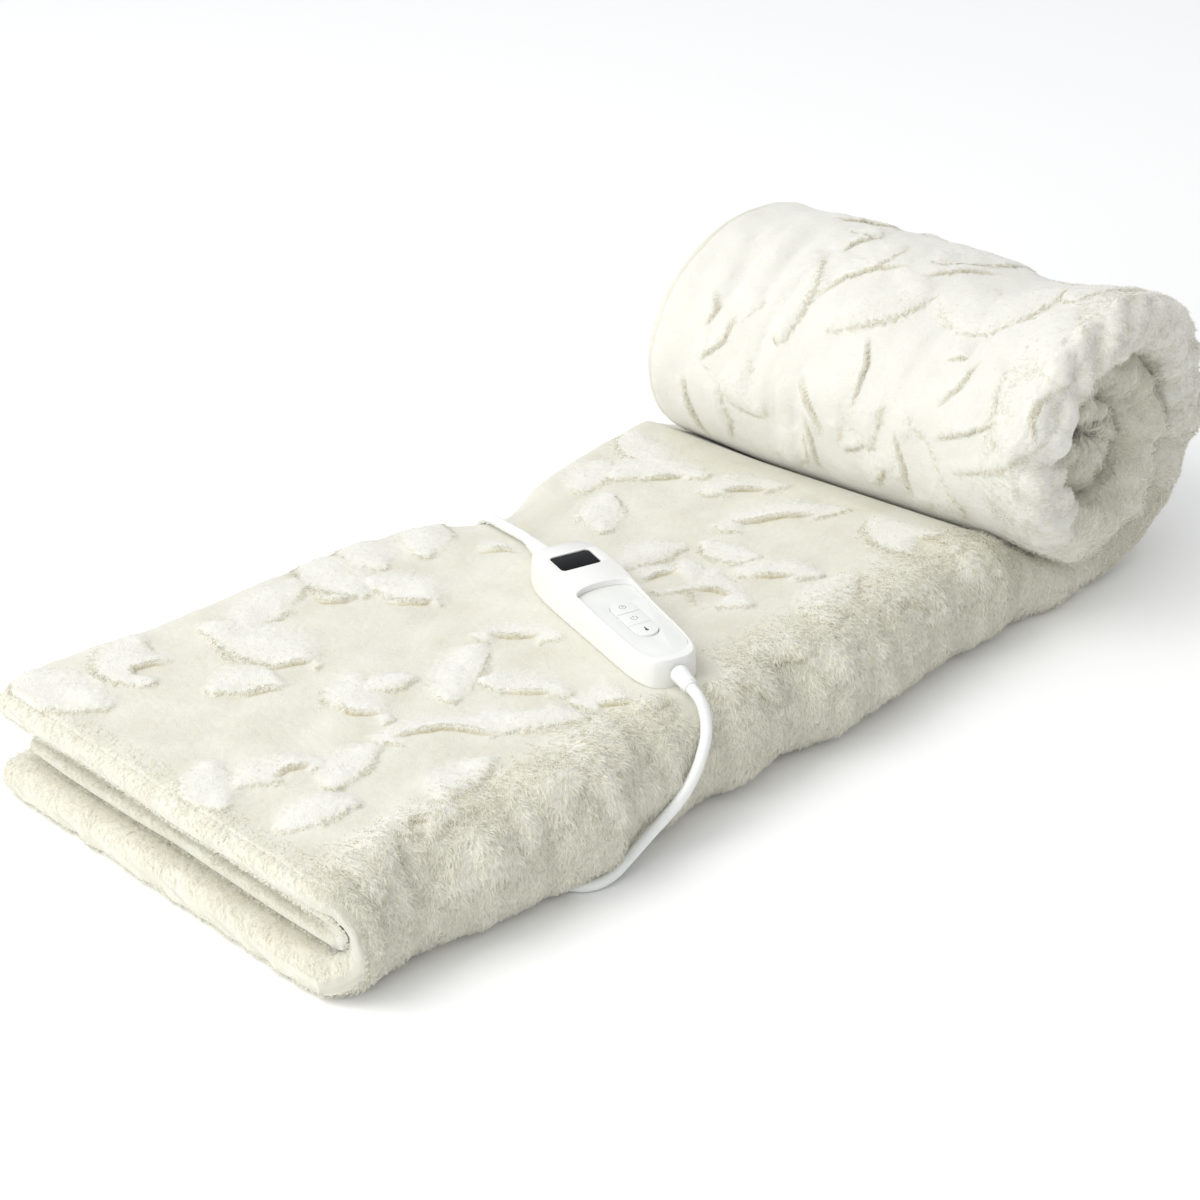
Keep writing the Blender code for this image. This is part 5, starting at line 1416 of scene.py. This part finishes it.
class PILE_OT_build(bpy.types.Operator):
    """Covers the band and the roll with raised motifs, and grows longer pile on folds, hems and edges"""

    bl_idname = "heated_throw.pile"
    bl_label = "Pile"

    def execute(self, context):
        look = context.scene.throw_cloth
        grid = cloth()
        nap, strand = plush("sculpted polyester plush"), pile_strand()
        coarse, fewer = ((1.0, 1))
        band = int((grid.length[:, 0] < NAP_END).sum())
        first, last = (int(np.argmax(grid.degrees[:, 0] >= d)) for d in NAP_ROUND)
        rolled = int(np.argmax(grid.degrees[:, 0] > 0.0))

        def fractions(start, stop, step):
            return np.linspace(start, stop, int(round((stop - start) / step / coarse)) + 1)

        step, face, rim = BAND_STEPS
        near, top = fractions(NEAR.start + 1, TOP.start, face), fractions(TOP.start, TOP.stop - 1, face)
        round_band = np.concatenate((near[:-1], top[:-1], fractions(TOP.stop - 1, FAR.stop - 2, rim)))
        down_band = fractions(4, band - 1, step)
        step, face, rim = ROLL_STEPS
        under = fractions(0, UNDER.stop - 1, face)
        round_roll = np.concatenate((under[:-1], fractions(UNDER.stop - 1, NEAR.stop - 2, rim)))
        down_roll = fractions(first, last, step)
        band_shapes = petal_shapes(BAND_PETALS, False)
        band_lines = [cloth_place(line, False) for line in BAND_CREASES]
        roll_shapes = petal_shapes(ROLL_PETALS, True)
        roll_lines = [cloth_place(line, True) for line in ROLL_CREASES]
        on_band = Patch(down_band, round_band, band_shapes, band_lines, PILE_RISE)
        on_roll = Patch(down_roll, round_roll, roll_shapes, roll_lines, PILE_RISE)
        pieces = [on_band.mesh("band_nap"), on_roll.mesh("roll_nap")]
        for piece in pieces:
            finish_piece(piece, nap, ROOT)

        free = clear_of_handset(on_band.length, on_band.girth, *PILE_PRESSED)
        fringe = (on_band.lip**2 + 0.02 * on_band.rise) * free
        over_fold = on_band.shaggy() * (1.0 - on_band.dive() * 0.5) * free
        edges = on_roll.lip**2 + 0.02 * on_roll.rise
        hem = Patch(np.arange(0.0, 9.1, 1.0), np.arange(0.0, grid.girth.shape[1] - 1.0, 1.0))
        rim = Patch(fractions(rolled, len(grid.rows) - 2, 1.0), fractions(NEAR.start - 6, NEAR.stop + 3, 1.0))
        side = Patch(fractions(band - 6, rolled + 14, 0.5), fractions(NEAR.start + 2, NEAR.stop + 3, 0.5))
        even = np.ones_like
        long, fine = look.long_pile, look.strand_width
        grown = (  # name, patch, weight, count, length, width, lay
            ("band_fringe", on_band, fringe, 30000, long * 0.5, fine, FLOW_BAND),
            ("near_fold_pile", on_band, over_fold, 42000, long * 1.3, fine, (-0.2, -0.9)),
            ("roll_fringe", on_roll, edges, 26000, long * 0.5, fine, FLOW_ROLL),
            ("hem_pile", hem, even(hem.girth), 14000, long * 0.8, fine, (-1.0, -0.1)),
            ("roll_end_pile", rim, even(rim.girth), 24000, long * 1.1, fine, (0.1, -0.9)),
            ("crease_side_pile", side, even(side.girth), 7000, long * 1.1, fine, (-0.2, -0.9)),
        )
        for number, (name, patch, weight, count, length, width, lay) in enumerate(grown):
            pieces.append(strands(name, patch, weight, count // fewer, length, width, 40 + number, lay))
            finish_piece(pieces[-1], strand, ROOT)
        return {"FINISHED"}


class HANDSET_OT_build(bpy.types.Operator):
    """Makes the case, its recessed panel and the display window"""

    bl_idname = "heated_throw.handset"
    bl_label = "Handset"

    def execute(self, context):
        look = context.scene.throw_handset
        above = 0.040
        case = case_shell()
        cut(case, plate("panel_cutter", panel_outline(0.0), PANEL_FLOOR, above))
        cut(case, pad_block("pad_cutter", 0.0, KEY_POCKET, above))
        floor = case_top(WINDOW_ALONG) - WINDOW_SINK - WINDOW_BED
        half_x, half_y = WINDOW_SIZE[0] / 2, WINDOW_SIZE[1] / 2
        low, high = (WINDOW_ALONG - half_x, -half_y, floor), (WINDOW_ALONG + half_x, half_y, above)
        cut(case, block("window_cutter", low, high, corner=WINDOW_ROUND))
        ease_angles(case, width=look.edge, segments=3, degrees=38)
        shade(case, 32)
        lay_on_band(case)
        glossy = moulded("moulded ABS", look.case_hex, 0.30, 0.35, 0.006, coat=0.25)
        finish_piece(case, glossy, ROOT, "handset_case")

        top = PANEL_FLOOR + PANEL_THICK
        panel = plate("recessed_panel", panel_outline(CLEAR), PANEL_FLOOR + CLEAR, top)
        cut(panel, pad_block("pad_hole", 0.0, KEY_POCKET, above))
        ease_rim(panel, top, 0.0002, 2)
        shade(panel, 40)
        lay_on_band(panel)
        finish_piece(panel, moulded("matt moulded ABS", look.panel_hex, 0.42, 0.30, 0.008), ROOT, "key_panel")

        low = (WINDOW_ALONG - half_x + CLEAR, -half_y + CLEAR, floor + CLEAR)
        high = (WINDOW_ALONG + half_x - CLEAR, half_y - CLEAR, floor + WINDOW_THICK)
        window = block("display_pane", low, high, corner=WINDOW_ROUND - CLEAR, edge=0.0003)
        shade(window, 40)
        lay_on_band(window)
        finish_piece(window, smoked_window(), ROOT, "display_window")
        return {"FINISHED"}


class KEYS_OT_build(bpy.types.Operator):
    """Cuts the pad into its three keys and prints a symbol on each"""

    bl_idname = "heated_throw.keys"
    bl_label = "Keys"

    def execute(self, context):
        look = context.scene.throw_handset
        caps = moulded("matt moulded ABS keys", look.panel_hex, 0.45, 0.30, 0.008)
        ink = moulded("pad-printed ink", look.mark_hex, 0.6, 0.20, 0.004)
        low, high = KEY_PAD[0] + CLEAR, KEY_PAD[1] - CLEAR
        length = (high - low) / len(KEY_NAMES)
        for i, name in enumerate(KEY_NAMES):
            key = pad_block(name + "_cap", CLEAR, KEY_BOTTOM, KEY_TOP)
            start, end = low + i * length + KEY_PARTING / 2, low + (i + 1) * length - KEY_PARTING / 2
            for along, way, wanted in ((start, -1.0, i > 0), (end, 1.0, i < len(KEY_NAMES) - 1)):
                if wanted:
                    plane = {"plane_co": (along, 0.0, 0.0), "plane_no": (way, 0.0, 0.0)}
                    with editing(key):
                        bpy.ops.mesh.bisect(**plane, use_fill=True, clear_outer=True)
            ease_rim(key, KEY_TOP, 0.0004)
            shade(key, 40)
            lay_on_band(key)
            body = name.replace("key_", "") + "_key"
            finish_piece(key, caps, body, name)
            middle = (low + (i + 0.5) * length, 0.0)
            marks = self.symbol(name, middle)
            lay_on_band(marks)
            finish_piece(marks, ink, body)
        return {"FINISHED"}

    def symbol(self, name, middle):
        """A generic symbol, read with the handset's head away: a clock, a power ring or a heat bar."""
        x, y = middle
        top, line, radius = KEY_TOP + 0.00001, 0.00032, 0.0021
        if name == "key_timer":
            pieces = [ring_mark("mark", middle, radius, line, top)]
            pieces.append(bar_mark("hand", (x, y), (x - 0.0013, y), line, top))
            pieces.append(bar_mark("hand_2", (x, y - line / 2), (x, y + 0.0010), line, top))
        elif name == "key_power":
            pieces = [ring_mark("mark", middle, radius, line, top, gap_deg=70.0)]
            pieces.append(bar_mark("bar", (x - 0.0004, y), (x - 0.0026, y), line, top))
        else:
            pieces = [bar_mark("bar", (x - 0.0022, y), (x + 0.0010, y), 0.0009, top)]
            pieces.append(ring_mark("bulb", (x + 0.0013, y), 0.0006, 0.0012, top))
        return join(name + "_symbol", pieces)


class THROW_PT_panel(bpy.types.Panel):
    """Lists the settings and the steps of the heated throw"""

    bl_label = "Heated throw"
    bl_space_type = "VIEW_3D"
    bl_region_type = "UI"
    bl_category = "Heated throw"

    def draw(self, context):
        for settings, steps in (
            ("throw_stage", (STAGE_OT_build,)),
            ("throw_leads", (LEADS_OT_build,)),
            ("throw_cloth", (CLOTH_OT_build, PILE_OT_build)),
            ("throw_handset", (HANDSET_OT_build, KEYS_OT_build)),
        ):
            box = self.layout.box()
            group = getattr(context.scene, settings)
            for name in group.__annotations__:
                box.prop(group, name)
            for step in steps:
                box.operator(step.bl_idname)


SETTINGS = {
    "throw_cloth": ClothSettings,
    "throw_leads": LeadSettings,
    "throw_handset": HandsetSettings,
    "throw_stage": StageSettings,
}
OPERATORS = (STAGE_OT_build, LEADS_OT_build, CLOTH_OT_build, PILE_OT_build, HANDSET_OT_build, KEYS_OT_build)


def register():
    for made in (*SETTINGS.values(), *OPERATORS, THROW_PT_panel):
        bpy.utils.register_class(made)
    for name, group in SETTINGS.items():
        setattr(bpy.types.Scene, name, bpy.props.PointerProperty(type=group))


def unregister():
    for name in SETTINGS:
        delattr(bpy.types.Scene, name)
    for made in reversed((*SETTINGS.values(), *OPERATORS, THROW_PT_panel)):
        bpy.utils.unregister_class(made)


def main():
    register()
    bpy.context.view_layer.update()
    bpy.ops.heated_throw.stage()
    bpy.ops.heated_throw.leads()
    bpy.ops.heated_throw.cloth()
    bpy.ops.heated_throw.pile()
    bpy.ops.heated_throw.handset()
    bpy.ops.heated_throw.keys()


if __name__ == "__main__":
    main()
